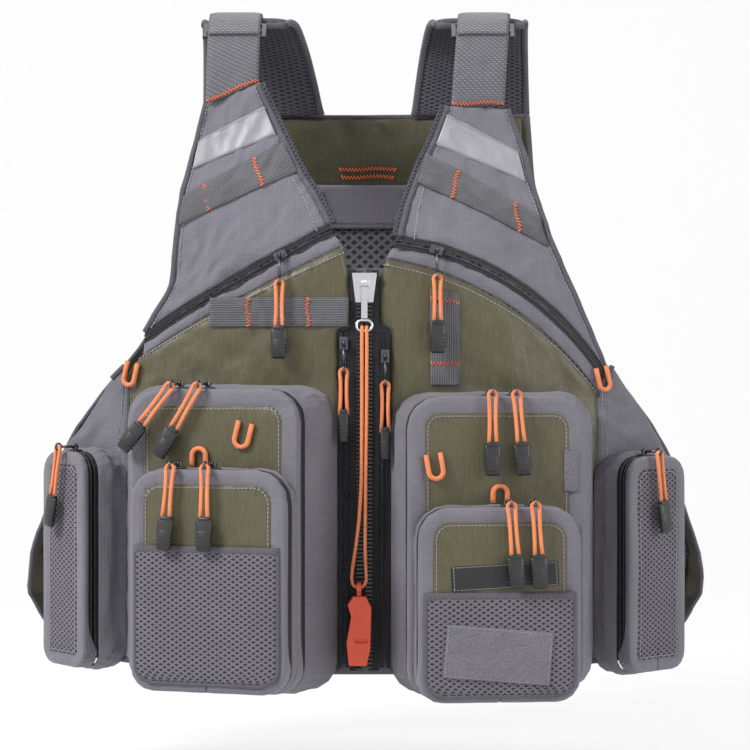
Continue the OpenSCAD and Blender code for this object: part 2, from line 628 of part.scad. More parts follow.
// Zips in the front panels: [name, closed x, z, open x, z, cord length, grip width]
FRONT_ZIPS = [
  ["chest_right", -71, zip_z(CHEST_RIGHT, 71), -110, zip_z(CHEST_RIGHT, 110), 40, grip_w],
  ["chest_left", 61, zip_z(CHEST_LEFT, 61), 80, zip_z(CHEST_LEFT, 80), 40, grip_w],
  ["slit_right", -slit_x, 308, -slit_x, 308 - slit_run, 36, 9.4],
  ["slit_left", slit_x, 297, slit_x, 297 - slit_run, 40, 9.4]];

function zip_closed(zip) = front_at(zip[1], zip[2], tape_mid);
function zip_run(zip) = front_at(zip[3], zip[4], tape_mid) - zip_closed(zip);
// The run turned so that it points to +X
function zip_dir(zip) = let (d = zip_run(zip)) (d.x < 0 ? -d : d) / norm(d);
function zip_turn(zip) = let (d = zip_dir(zip)) d.x < 0.01 ? 0 : atan2(-d.y, d.x);

module at_front_pin(zip)
  translate(zip_closed(zip)) rotate([0, 0, -zip_turn(zip)]) translate([0, -pin_up, 0]) children();
module front_slider_small(zip) color(GUNMETAL) from_loop() at_front_pin(zip)
  translate([0, pin_up, 0]) slider(-asin(zip_dir(zip).z));
module front_pull_small(zip) from_loop() at_front_pin(zip)
  pull(2.5, 22, 0, 3, zip[5], zip[6]);

// ---------- front slider, its pull and the whistle ----------
main_z = front_zip_top - 15;
main_plate_in = tooth_t / 2 + 0.4;
main_pin_up = main_plate_in + 1.6 + 3.4;
module main_slider() color(SILVER) from_loop() translate([0, front_y, main_z]) {
  for (s = [-1, 1]) {
    translate([0, s * (main_plate_in + 0.8), 0]) cube([front_slider_w, 1.6, front_slider_l], center = true);
    for (e = [-1, 1]) translate([e * 8.3, s * (zip_t / 2 + 0.5 + 1), -2])
      cube([1.6, 2.1, front_slider_l - 4], center = true);
  }
  translate([0, 0, front_slider_l / 4])
    cube([zip_gap - 2 * run_gap, 2 * main_plate_in + 0.2, front_slider_l / 2], center = true);
  for (s = [-1, 1]) translate([s * 3.9, -main_plate_in - 1.2 - 2.9, 3]) cube([1.8, 5.8, 6], center = true);
  translate([0, -main_pin_up, 3]) rotate([0, 90, 0]) cylinder(d = 2.4, h = 8.4, center = true);
}

main_pull_l = 31;
ring_half = [6.6, 4.4];
ring_wire = 2.4;
ring_away = 5;
module main_pull() color(SILVER) from_loop() translate([0, front_y - main_pin_up, main_z + 3])
  rotate([-ring_away, 0, 0]) {
    difference() {
      union() {
        rotate([0, 90, 0]) cylinder(d = 5.6, h = 5.4, center = true);
        translate([0, 0, -main_pull_l / 2 - 0.5]) cube([5.4, 2, main_pull_l - 4], center = true);
      }
      rotate([0, 90, 0]) cylinder(d = 2.4 + 2 * run_gap, h = 8, center = true);
    }
    // oval wire ring at the bottom of the tab
    translate([0, 0, -main_pull_l - ring_half[1]]) {
      for (s = [-1, 1]) translate([0, 0, s * ring_half[1]]) rotate([0, 90, 0])
        cylinder(d = ring_wire, h = 2 * (ring_half[0] - ring_half[1]), center = true);
      for (s = [0, 180]) rotate([0, s, 0]) translate([ring_half[0] - ring_half[1], 0, 0])
        rotate([90, 90, 0]) rotate_extrude(angle = 180) translate([ring_half[1], 0]) circle(d = ring_wire);
    }
  }

// Where the lanyard swings: the bottom of the oval ring
ring_low = let (l = main_pull_l + 2 * ring_half[1])
  [0, front_y - main_pin_up - l * sin(ring_away), main_z + 3 - l * cos(ring_away)];

// Route of the whistle cord from the ring, round through the whistle's eye and back
ROUTE = [
  [-1.9, -110.6, 321.5], [-1.9, -113.2, 320.6], [-2, -113.9, 317.5], [-2.1, -114.2, 312], [-2.1, -114.5, 300],
  [-2.1, -114.5, 280], [-2.1, -114.5, 250], [-2.2, -114.5, 220], [-2.6, -114.5, 190], [-4.4, -114.5, 160],
  [-7.4, -114.5, 135], [-10, -114.5, 118], [-10.6, -114.5, 109], [-8.8, -114.5, 104], [-4.5, -114.5, 102],
  [-0.2, -114.5, 104], [1.6, -114.5, 109], [1.4, -114.5, 118], [0.8, -114.5, 135],
  [1, -114.5, 160], [1.2, -114.5, 190], [1.7, -114.5, 220], [1.9, -114.5, 250],
  [2, -114.5, 280], [2.1, -114.5, 300], [2.1, -114.2, 312], [2, -113.9, 317.5], [1.9, -113.2, 320.6],
  [1.9, -110.6, 321.5]];
rings_per_leg = 3;
route_last = len(ROUTE) - 1;
LINE = [for (k = [0:route_last - 1]) for (i = [0:rings_per_leg - 1])
  if (!(i > 0 && (k < 4 || (k > 10 && k < 17) || k > 23)))
  spline(ROUTE[max(k - 1, 0)], ROUTE[k], ROUTE[k + 1], ROUTE[min(k + 2, route_last)], i / rings_per_leg)];
CORD = concat(LINE, [ROUTE[route_last]]);
function along(k) = let (d = CORD[min(k + 1, len(CORD) - 1)] - CORD[max(k - 1, 0)]) d / norm(d);
function ring_of(k) =
  let (d = along(k), side = cross(d, [0, 1, 0]), s = side / norm(side), f = cross(s, d))
  [for (a = [0:45:315]) CORD[k] + (s * cos(a) + f * sin(a)) * lanyard_d / 2];
module lanyard_cord() color(ORANGE) from_loop() skin([for (k = [0:len(CORD) - 1]) ring_of(k)]);

eye_at = [-4.5, -114.5, 102];
module whistle() color("#f4511e") from_loop() translate(eye_at) {
  difference() {
    union() {
      rotate([0, 90, 0]) cylinder(d = 10, h = 4, center = true);
      translate([-2, -3, -9]) cube([4, 6, 7]);
      rotate([90, 0, 0]) translate([0, 0, -whistle_t / 2]) linear_extrude(whistle_t)
        polygon([[-5, -7], [6, -7], [whistle_w / 2, -16], [whistle_w / 2 - 1, -whistle_h + 6],
                 [whistle_w / 2 - 4, -whistle_h - 7], [-whistle_w / 2 + 2, -whistle_h - 7],
                 [-whistle_w / 2, -whistle_h + 12], [-whistle_w / 2 + 4, -24], [-whistle_w / 2 + 1, -14]]);
    }
    rotate([0, 90, 0]) cylinder(d = lanyard_d + 2, h = 8, center = true);
    // sounding windows on both faces and the air way from the mouth
    for (s = [-1, 1]) translate([2, s * whistle_t / 2, -whistle_h + 14]) cube([10, 5, 4], center = true);
    translate([0, 0, -whistle_h - 2]) cube([12, 3, 26], center = true);
  }
}

// ---------- gear loops ----------
// A loop that hangs from the origin: half its width, and the length of its legs
module gear_loop(half, leg) {
  translate([0, 0, -leg]) rotate([90, 0, 0]) rotate([0, 0, 180]) rotate_extrude(angle = 180)
    translate([half, 0]) circle(d = gear_cord_d);
  for (s = [-1, 1]) translate([s * half, 0, -leg]) cylinder(d = gear_cord_d, h = leg);
}
loop_half = 6;
loop_off = gear_cord_d / 2 + seam;
module gear_loops() color(ORANGE) from_loop() {
  // sewn to the armholes: [x, z, turn, turn round the body]
  for (s = [[-198, 292, 14, -22], [202, 288, -14, 22]])
    translate(front_at(s[0], s[1], panel_t + loop_off)) rotate([0, s[2], s[3]]) gear_loop(5, 15);
  on_pocket(BIG_RIGHT) translate([30, -loop_off, 99]) rotate([0, 14, 0]) gear_loop(loop_half, 15);
  on_pocket(BIG_LEFT) translate([-54, -loop_off, 77]) rotate([0, -10, 0]) gear_loop(loop_half, 15);
  // two stand up above the small pockets
  on_pocket(BIG_RIGHT) translate([-11, -loop_off, 62]) rotate([0, 180, 0]) gear_loop(loop_half, 9);
  on_pocket(BIG_LEFT) translate([2, -loop_off, 36]) rotate([0, 180, 0]) gear_loop(loop_half, 8);
}

PIECES = [
  "back_panel", "back_lining", "back_band", "back_yoke", "side_wings", "front_panel_left",
  "front_panel_right", "front_yoke_left", "front_yoke_right", "chest_bands", "shoulder_straps",
  "shoulder_pads", "strap_buckles", "reflective_tapes", "webbing_strips", "gear_loops", "hang_loop",
  "big_pocket_gussets", "big_pocket_lids", "small_pocket_gussets", "small_pocket_lids",
  "side_pocket_gussets", "side_pocket_lids", "mesh_pockets", "loop_patch", "label_patch",
  "front_zip", "zip_tapes", "main_slider", "main_pull", "lanyard_cord", "whistle"];
ZIPS = concat(POCKET_ZIPS, FRONT_ZIPS);

back_panel();
back_lining();
back_band();
back_yoke();
side_wings();
front_panel(LEFT);  // front_panel_left
front_panel(RIGHT);  // front_panel_right
front_yoke(LEFT);  // front_yoke_left
front_yoke(RIGHT);  // front_yoke_right
chest_bands();
shoulder_straps();
shoulder_pads();
strap_buckles();
reflective_tapes();
webbing_strips();
gear_loops();
hang_loop();
big_pocket_gussets();
big_pocket_lids();
small_pocket_gussets();
small_pocket_lids();
side_pocket_gussets();
side_pocket_lids();
mesh_pockets();
loop_patch();
label_patch();
front_zip();
zip_tapes();
main_slider();
main_pull();
lanyard_cord();
whistle();
for (z = POCKET_ZIPS) pocket_slider(z);
for (z = POCKET_ZIPS) pocket_pull(z);
for (z = FRONT_ZIPS) front_slider_small(z);
for (z = FRONT_ZIPS) front_pull_small(z);
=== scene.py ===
"""Looks of a fishing vest: sewn panels, padded straps, zipped pockets, cord pulls and a whistle.

Sizes inside the classes are millimetres measured from the bottom of the pockets, with +X to the
wearer's left and the front towards -Y. Maker turns them into metres round the hang loop.
"""

import json
import logging
import math
from collections.abc import Callable, Sequence
from dataclasses import dataclass, field
from enum import Enum

import bmesh
import bpy
from mathutils import Matrix, Vector, noise

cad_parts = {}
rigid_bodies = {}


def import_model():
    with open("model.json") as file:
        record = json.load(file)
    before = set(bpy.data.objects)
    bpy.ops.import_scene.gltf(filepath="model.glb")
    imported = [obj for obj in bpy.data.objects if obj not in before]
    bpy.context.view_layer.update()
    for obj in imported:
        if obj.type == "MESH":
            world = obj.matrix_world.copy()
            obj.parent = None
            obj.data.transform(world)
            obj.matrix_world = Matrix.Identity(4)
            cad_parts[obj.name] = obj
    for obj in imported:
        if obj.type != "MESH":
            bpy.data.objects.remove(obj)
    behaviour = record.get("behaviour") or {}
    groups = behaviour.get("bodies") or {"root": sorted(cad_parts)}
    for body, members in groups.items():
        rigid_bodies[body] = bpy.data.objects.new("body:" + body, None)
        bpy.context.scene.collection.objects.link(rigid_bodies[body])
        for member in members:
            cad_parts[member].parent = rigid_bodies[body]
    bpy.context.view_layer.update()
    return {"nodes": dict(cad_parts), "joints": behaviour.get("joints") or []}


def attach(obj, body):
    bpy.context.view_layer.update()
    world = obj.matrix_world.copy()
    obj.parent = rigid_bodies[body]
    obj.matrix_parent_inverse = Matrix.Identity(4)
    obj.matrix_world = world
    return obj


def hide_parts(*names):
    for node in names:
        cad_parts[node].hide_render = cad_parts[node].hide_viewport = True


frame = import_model()
log = logging.getLogger("vest")

MM = 0.001
LOOP_AT = Vector((0.0, 72.0, 506.0))
BODY_W, CHEST_D, NECK_D = 272.0, 98.0, 62.0
SEAM = 0.4
PANEL_T = 3.0
LAYER = PANEL_T + SEAM
LEFT, RIGHT = 1, -1
Place = Callable[[float, float], Vector]
Flat = Callable[[float, float], tuple[float, float]]


# ---------- finishes ----------
def linear(colour: str) -> tuple[float, float, float, float]:
    """Turn an sRGB hex colour to linear light.

    Args:
        colour: Six hex digits after a hash.

    Returns:
        Linear red, green and blue, with alpha 1.
    """
    parts = [int(colour[i:i + 2], 16) / 255 for i in (1, 3, 5)]
    r, g, b = [c / 12.92 if c <= 0.04045 else ((c + 0.055) / 1.055) ** 2.4 for c in parts]
    return (r, g, b, 1.0)


def add_node(tree: bpy.types.NodeTree, kind: str, settings: dict | None = None,
             links: dict | None = None) -> bpy.types.Node:
    """Add one shader node with its settings and links.

    Args:
        tree: The node tree it goes in.
        kind: The node's type name.
        settings: Attribute names, or input names and numbers, with their values.
        links: Input names or numbers, with the sockets that feed them.

    Returns:
        The new node.
    """
    node = tree.nodes.new(kind)
    for key, value in (settings or {}).items():
        if isinstance(key, str) and hasattr(node, key):
            setattr(node, key, value)
        else:
            node.inputs[key].default_value = value
    for key, socket in (links or {}).items():
        tree.links.new(socket, node.inputs[key])
    return node


@dataclass(frozen=True)
class Finish:
    """A finish with its shader settings; the kinds below add their own patterns."""

    name: str
    colour: str
    dark: str
    roughness: float = 0.8

    def pattern(self, tree: bpy.types.NodeTree, where: dict) -> tuple:
        """Draw the finish's pattern.

        Args:
            tree: The material's nodes.
            where: Sockets "uv" in metres along the surface and "object" in metres.

        Returns:
            Socket of the share of the dark colour, socket of the height, height in metres.
        """
        grain = add_node(tree, "ShaderNodeTexNoise", {"Scale": 900.0, "Detail": 2.0},
                         {"Vector": where["object"]})
        return grain.outputs["Fac"], grain.outputs["Fac"], 0.0001

    def surface(self, shader: bpy.types.Node) -> None:
        """Set the shader's own constant sockets."""
        shader.inputs["Roughness"].default_value = self.roughness

    def material(self) -> bpy.types.Material:
        """Build the material once, and give the same one after that."""
        if self.name in bpy.data.materials:
            return bpy.data.materials[self.name]
        made = bpy.data.materials.new(self.name)
        made.use_nodes = True
        tree = made.node_tree
        shader = tree.nodes["Principled BSDF"]
        coords = add_node(tree, "ShaderNodeTexCoord")
        where = {"uv": coords.outputs["UV"], "object": coords.outputs["Object"]}
        share, height, depth = self.pattern(tree, where)
        mix = add_node(tree, "ShaderNodeMix", {"data_type": "RGBA", 6: linear(self.colour),
                                               7: linear(self.dark)}, {0: share})
        # uneven dye and handling, some 30 mm across
        wear = add_node(tree, "ShaderNodeTexNoise", {"Scale": 32.0, "Detail": 4.0, "Roughness": 0.6},
                        {"Vector": where["object"]})
        level = add_node(tree, "ShaderNodeMapRange", {"From Min": 0.25, "From Max": 0.75,
                                                      "To Min": 0.9, "To Max": 1.08},
                         {"Value": wear.outputs["Fac"]})
        toned = add_node(tree, "ShaderNodeVectorMath", {"operation": "SCALE"},
                         {0: mix.outputs[2], "Scale": level.outputs[0]})
        bump = add_node(tree, "ShaderNodeBump", {"Strength": 0.9, "Distance": depth}, {"Height": height})
        tree.links.new(toned.outputs[0], shader.inputs["Base Color"])
        tree.links.new(bump.outputs[0], shader.inputs["Normal"])
        self.surface(shader)
        return made


class Weave(Enum):
    """How a cloth is woven."""

    OXFORD = "oxford"
    SATIN = "satin"
    TWILL = "twill"
    RIB = "rib"
    PILE = "pile"


@dataclass(frozen=True)
class Cloth(Finish):
    """A woven cloth, its threads drawn as coarse as the view needs to show them."""

    weave: Weave = Weave.OXFORD
    pitch_mm: float = 1.3
    sheen: float = 0.15
    height_mm: float = 0.35

    def pattern(self, tree: bpy.types.NodeTree, where: dict) -> tuple:
        """Draw the threads, with fine crinkles under them."""
        scale = math.pi / 10 / (self.pitch_mm * MM)
        if self.weave in (Weave.SATIN, Weave.PILE):
            stretch = (500.0, 60.0, 1.0) if self.weave == Weave.SATIN else (650.0, 650.0, 1.0)
            laid = add_node(tree, "ShaderNodeMapping", {"Scale": stretch}, {"Vector": where["uv"]})
            threads = add_node(tree, "ShaderNodeTexNoise", {"Scale": 1.0, "Detail": 2.0},
                               {"Vector": laid.outputs[0]}).outputs["Fac"]
        else:
            first, second = {Weave.OXFORD: ("X", "Y"), Weave.TWILL: ("DIAGONAL", "Y"),
                             Weave.RIB: ("Y", "Y")}[self.weave]
            warp = add_node(tree, "ShaderNodeTexWave", {"bands_direction": first, "Scale": scale},
                            {"Vector": where["uv"]})
            weft = add_node(tree, "ShaderNodeTexWave", {"bands_direction": second, "Scale": scale},
                            {"Vector": where["uv"]})
            threads = add_node(tree, "ShaderNodeMath", {"operation": "MULTIPLY"},
                               {0: warp.outputs["Fac"], 1: weft.outputs["Fac"]}).outputs[0]
        crinkle = add_node(tree, "ShaderNodeTexNoise", {"Scale": 75.0, "Detail": 3.0, "Distortion": 0.6},
                           {"Vector": where["object"]})
        both = add_node(tree, "ShaderNodeMath", {"operation": "MULTIPLY_ADD", 1: 3.0},
                        {0: crinkle.outputs["Fac"], 2: threads})
        share = add_node(tree, "ShaderNodeMath", {"operation": "SUBTRACT", 0: 1.0, "use_clamp": True},
                         {1: threads})
        return share.outputs[0], both.outputs[0], self.height_mm * MM

    def surface(self, shader: bpy.types.Node) -> None:
        """Set roughness and the soft sheen of fibres."""
        super().surface(shader)
        shader.inputs["Sheen Weight"].default_value = self.sheen
        shader.inputs["Sheen Roughness"].default_value = 0.45


@dataclass(frozen=True)
class Net(Finish):
    """Knitted mesh: crossing strands round holes of the given pitch."""

    wide_mm: float = 7.0
    high_mm: float = 4.4
    strand: float = 0.62

    def pattern(self, tree: bpy.types.NodeTree, where: dict) -> tuple:
        """Draw two crossing sets of strands, and keep the higher of the two."""
        sets = []
        for sign in (1, -1):
            laid = add_node(tree, "ShaderNodeMapping",
                            {"Scale": (sign / self.wide_mm / MM, 1 / self.high_mm / MM, 1.0)},
                            {"Vector": where["uv"]})
            # a wave of scale 0.628 along the diagonal has a period of one cell
            sets.append(add_node(tree, "ShaderNodeTexWave", {"bands_direction": "DIAGONAL",
                                                             "Scale": 0.628}, {"Vector": laid.outputs[0]}))
        top = add_node(tree, "ShaderNodeMath", {"operation": "MAXIMUM"},
                       {0: sets[0].outputs["Fac"], 1: sets[1].outputs["Fac"]})
        hole = add_node(tree, "ShaderNodeMapRange", {"From Min": self.strand - 0.18,
                                                     "From Max": self.strand + 0.18,
                                                     "To Min": 1.0, "To Max": 0.0},
                        {"Value": top.outputs[0]})
        return hole.outputs[0], top.outputs[0], 0.0011


@dataclass(frozen=True)
class Braid(Finish):
    """Braided cord: crossing strands that wind round it, with a painted highlight on the strand tops and
    painted shade in the gaps.
    """

    strand_mm: float = 2.2

    def pattern(self, tree: bpy.types.NodeTree, where: dict) -> tuple:
        """Draw the strands that wind both ways, the strand tops lighter as a painted highlight and the gaps
        darker as painted shade.
        """
        sets = []
        for sign in (1, -1):
            laid = add_node(tree, "ShaderNodeMapping",
                            {"Scale": (sign / self.strand_mm / MM, 1 / self.strand_mm / MM, 1.0)},
                            {"Vector": where["uv"]})
            sets.append(add_node(tree, "ShaderNodeTexWave", {"bands_direction": "DIAGONAL",
                                                             "Scale": 0.628}, {"Vector": laid.outputs[0]}))
        over = add_node(tree, "ShaderNodeMath", {"operation": "MULTIPLY"},
                        {0: sets[0].outputs["Fac"], 1: sets[1].outputs["Fac"]})
        # Painted shade in the gaps between strands; where strands cross on top, the lighter colour stays as
        # a painted highlight.
        gap = add_node(tree, "ShaderNodeMapRange", {"From Min": 0.0, "From Max": 0.5, "To Min": 0.75,
                                                    "To Max": 0.0}, {"Value": over.outputs[0]})
        return gap.outputs[0], over.outputs[0], 0.0005


@dataclass(frozen=True)
class Coil(Finish):
    """A row of moulded or coiled zip teeth seen as fine bars across the row: the teeth's own near black,
    with a painted glint on each bar crest.
    """

    pitch_mm: float = 1.7

    def pattern(self, tree: bpy.types.NodeTree, where: dict) -> tuple:
        """Draw the bars across the row, which runs along V; the bar crests take the lighter colour as a
        painted glint.
        """
        bars = add_node(tree, "ShaderNodeTexWave", {"bands_direction": "Y",
                                                    "Scale": math.pi / 10 / (self.pitch_mm * MM)},
                        {"Vector": where["uv"]})
        # The teeth's near black fills the troughs; the lighter colour left on the crests is a painted glint.
        dark = add_node(tree, "ShaderNodeMath", {"operation": "SUBTRACT", 0: 1.0},
                        {1: bars.outputs["Fac"]})
        return dark.outputs[0], bars.outputs["Fac"], 0.0007


@dataclass(frozen=True)
class Moulded(Finish):
    """Moulded plastic or rubber with a fine grain."""

    coat: float = 0.0

    def surface(self, shader: bpy.types.Node) -> None:
        """Set roughness and the clear, smooth skin of the moulding."""
        super().surface(shader)
        shader.inputs["Coat Weight"].default_value = self.coat
        shader.inputs["Coat Roughness"].default_value = 0.25


@dataclass(frozen=True)
class Plated(Finish):
    """Die-cast zinc with a metal plating."""

    def surface(self, shader: bpy.types.Node) -> None:
        """Set a full metal."""
        super().surface(shader)
        shader.inputs["Metallic"].default_value = 1.0


# Polyester oxford, plain woven: dull, with a faint square grain
GREY = Cloth("grey_oxford", "#86848d", "#66646d", 0.78, Weave.OXFORD, 1.5, 0.2)
# A darker copy of the grey oxford, painted shade, for the zip guard behind the front zip.
GREY_PAINTED_SHADE = Cloth("grey_oxford_painted_shade", "#72707a", "#56545e", 0.8, Weave.OXFORD, 1.5, 0.15)
# Nylon satin, calendered: smooth, with soft long highlights along its folds
OLIVE_CLOTH = Cloth("olive_satin", "#5c573d", "#403c29", 0.46, Weave.SATIN, 1.0, 0.25, 0.3)
# A darker copy of the olive satin, painted shade, for the back shell and back yoke.
OLIVE_PAINTED_SHADE = Cloth("olive_satin_painted_shade", "#4d4933", "#353223", 0.46, Weave.SATIN, 1.0, 0.2, 0.3)
# Polypropylene webbing: thick diagonal yarns on the shoulders, fine cross ribs on the chest
TWILL = Cloth("shoulder_webbing", "#86858c", "#4f4e55", 0.7, Weave.TWILL, 2.4, 0.2, 0.8)
RIBBED = Cloth("ribbed_webbing", "#75757a", "#4a4a50", 0.7, Weave.RIB, 2.0, 0.15, 0.8)
TAPE = Cloth("reflective_tape", "#a3a2a8", "#918f96", 0.42, Weave.OXFORD, 1.0, 0.0, 0.1)
BINDING = Cloth("edge_binding", "#66636c", "#4c4a52", 0.75, Weave.RIB, 1.4, 0.15, 0.5)
PILE = Cloth("loop_pile_knit", "#8a8790", "#45434b", 0.95, Weave.PILE, 1.0, 0.05, 1.2)
ZIP_TAPE = Cloth("zip_tape_cloth", "#2c2b30", "#18181b", 0.8, Weave.RIB, 1.2, 0.05, 0.4)
# Knitted polyester nets, strands about a millimetre thick
POUCH_NET = Net("pouch_net", "#6a6771", "#2a282d", 0.75, 7.0, 4.6)
BACK_NET = Net("back_net", "#5a5961", "#1d1c20", 0.8, 9.0, 9.0)
PAD_NET = Net("pad_spacer_net", "#4a4952", "#1e1e24", 0.85, 6.0, 4.0)
# Braided polyester cord, matt with a warm sheen that is painted: a lighter colour on the strand tops as a
# painted highlight, a darker one in the gaps as painted shade
BRAID_CORD_PAINTED_LIGHT = Braid("orange_braid_painted_light", "#f9a272", "#dc6c30", 0.7, 2.4)
THREAD = Finish("orange_thread", "#f47a45", "#cf5a2a", 0.6)
GREY_THREAD = Finish("grey_thread", "#9d9ba3", "#82808a", 0.6)
# Zip coil teeth: near black, with the lighter colour on each bar crest a painted glint.
GLINT_PAINTED_TEETH = Coil("zip_teeth_painted_glint", "#3a3a40", "#0f0f11", 0.38, 1.7)
CHAIN = Moulded("acetal_teeth", "#26262a", "#19191c", 0.35, 0.3)
# Soft PVC grips: near black with a low shine on their raised edges
RUBBER = Moulded("rubber_grip", "#222225", "#18181a", 0.42, 0.08)
ACETAL = Moulded("acetal", "#1d1d20", "#151517", 0.4, 0.1)
LABEL = Moulded("plain_label", "#19191c", "#121214", 0.5, 0.05)
# ABS, injection moulded: strong flat orange with a clear highlight
ABS = Moulded("whistle_abs", "#f4511e", "#e8481a", 0.35, 0.4)
GUNMETAL = Plated("gunmetal_plating", "#6a6a70", "#4c4c52", 0.33)
NICKEL = Plated("nickel_plating", "#d6d6d9", "#bdbdc2", 0.25)


# ---------- making meshes ----------
def row_point(p: Sequence[float]) -> Vector:
    """Millimetres from the pocket bottoms to metres from the hang loop."""
    return (Vector(p) - LOOP_AT) * MM


class Maker:
    """Collects surfaces, tubes and blocks of one piece and makes it an object."""

    def __init__(self, name: str) -> None:
        """Start an empty piece."""
        self.name = name
        self.bm = bmesh.new()
        self.uv = self.bm.loops.layers.uv.new("UVMap")
        self.finishes: list[Finish] = []

    def slot_of(self, finish: Finish) -> int:
        """The material slot of a finish, made when it is new."""
        if finish not in self.finishes:
            self.finishes.append(finish)
        return self.finishes.index(finish)

    def surface(self, cols: int, rows: int, place: Place, flat: Flat, finish: Finish,
                closed: bool = False, flip: bool = False,
                choose: Callable[[float, float], Finish] | None = None) -> list:
        """Lay a grid over a surface.

        Args:
            cols: Steps along u.
            rows: Steps along v.
            place: Millimetre point at u, v, both 0 to 1.
            flat: Cloth coordinates in metres at u, v.
            finish: The finish all over it.
            closed: Join u = 1 to u = 0.
            flip: Turn the faces round.
            choose: Finish by u, v where it isn't the same all over.

        Returns:
            The new faces.
        """
        made = bmesh.ops.create_grid(self.bm, x_segments=cols, y_segments=rows, size=0.5)["verts"]
        at = {v: (v.co.x + 0.5, v.co.y + 0.5) for v in made}
        faces = {f for v in made for f in v.link_faces}
        slot = self.slot_of(finish)
        for f in faces:
            f.smooth = True
            f.material_index = slot
            if choose:
                us = [at[v] for v in f.verts]
                mid = [sum(c[k] for c in us) / len(us) for k in (0, 1)]
                f.material_index = self.slot_of(choose(mid[0], mid[1]))
            for loop in f.loops:
                loop[self.uv].uv = flat(*at[loop.vert])
        for v, (a, b) in at.items():
            v.co = row_point(place(a, b))
        if flip:
            bmesh.ops.reverse_faces(self.bm, faces=list(faces))
        rim = [v for v, (a, b) in at.items() if (closed and a in (0.0, 1.0)) or b in (0.0, 1.0)]
        bmesh.ops.remove_doubles(self.bm, verts=rim, dist=2e-6)
        return list(faces)

    def tube(self, path: Sequence[Vector], radius: float, finish: Finish, sides: int = 8,
             flatten: tuple[float, Vector] | None = None) -> None:
        """Sweep a round cord along a path and close its ends.

        Args:
            path: Millimetre points along the middle.
            radius: Millimetres.
            finish: The cord's finish.
            sides: Sides of the cord.
            flatten: Thickness as a share of the width, and the direction it is thin in.
        """
        pts = [Vector(p) for p in path]
        n = len(pts) - 1
        tangents = [(pts[min(i + 1, n)] - pts[max(i - 1, 0)]).normalized() for i in range(n + 1)]
        side = tangents[0].orthogonal().normalized()
        frames, run = [], [0.0]
        for i, t in enumerate(tangents):
            side = (side - t * side.dot(t)).normalized()
            frames.append((side.copy(), t.cross(side)))
            if i:
                run.append(run[-1] + (pts[i] - pts[i - 1]).length)

        def place(u: float, v: float) -> Vector:
            """Find a point of the tube's skin.

            Args:
                u: Share round the ring.
                v: Share of the way along.

            Returns:
                Point in millimetres.
            """
            i = round(v * n)
            a = u * math.tau
            off = (frames[i][0] * math.cos(a) + frames[i][1] * math.sin(a)) * radius
            if flatten:
                thin = (flatten[1] - tangents[i] * flatten[1].dot(tangents[i])).normalized()
                off -= thin * off.dot(thin) * (1 - flatten[0])
            return pts[i] + off

        def flat(u: float, v: float) -> tuple[float, float]:
            """Round and along the tube, in metres."""
            return (u * math.tau * radius * MM, run[round(v * n)] * MM)

        before = set(self.bm.edges)
        self.surface(sides, n, place, flat, finish, closed=True)
        ends = [e for e in self.bm.edges if e not in before and e.is_boundary]
        capped = bmesh.ops.holes_fill(self.bm, edges=ends, sides=0)["faces"]
        for f in capped:
            f.material_index = self.slot_of(finish)

    def block(self, size: Sequence[float], at: Matrix, finish: Finish, bevel: float = 0.4,
              segments: int = 2, taper: float = 1.0) -> None:
        """Add a block with rounded edges.

        Args:
            size: Millimetres along its own X, Y and Z.
            at: Its place, in millimetres.
            finish: Its finish.
            bevel: Radius of the edges in millimetres.
            segments: Steps of the edges.
            taper: Width of the bottom as a share of the top's.
        """
        made = bmesh.ops.create_cube(self.bm, size=1.0)["verts"]
        slot = self.slot_of(finish)
        for v in made:
            narrow = taper if v.co.z < 0 else 1.0
            own = Vector((v.co.x * size[0] * narrow, v.co.y * size[1], v.co.z * size[2]))
            v.co = row_point(at @ own)
        for f in {f for v in made for f in v.link_faces}:
            f.material_index = slot
            f.smooth = bevel > 0
            for loop in f.loops:
                loop[self.uv].uv = (loop.vert.co.x, loop.vert.co.z)
        if bevel > 0:
            edges = list({e for v in made for e in v.link_edges})
            bmesh.ops.bevel(self.bm, geom=edges, offset=bevel * MM, affect="EDGES", segments=segments,
                            profile=0.5, material=-1)

    def done(self, body: str, slot: str, nodes: Sequence[str] = (), thick: float = 0.0,
             smooth: int = 0) -> bpy.types.Object:
        """Make the object and say what it rides on.

        Args:
            body: The body it moves with.
            slot: The record's material slot; not used.
            nodes: CAD nodes it stands for.
            thick: Thickness of the cloth in millimetres, grown inwards.
            smooth: Levels of subdivision.

        Returns:
            The finished piece.
        """
        mesh = bpy.data.meshes.new(self.name)
        self.bm.to_mesh(mesh)
        self.bm.free()
        for finish in self.finishes:
            mesh.materials.append(finish.material())
        made = bpy.data.objects.new(self.name, mesh)
        bpy.context.scene.collection.objects.link(made)
        if thick:
            wall = made.modifiers.new("wall", "SOLIDIFY")
            wall.thickness = thick * MM
            wall.offset = -1.0
        if smooth:
            soft = made.modifiers.new("soft", "SUBSURF")
            soft.levels = soft.render_levels = smooth
        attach(made, body)
        if nodes:
            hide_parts(*nodes)
        log.info("%s: %d faces", self.name, len(mesh.polygons))
        return made


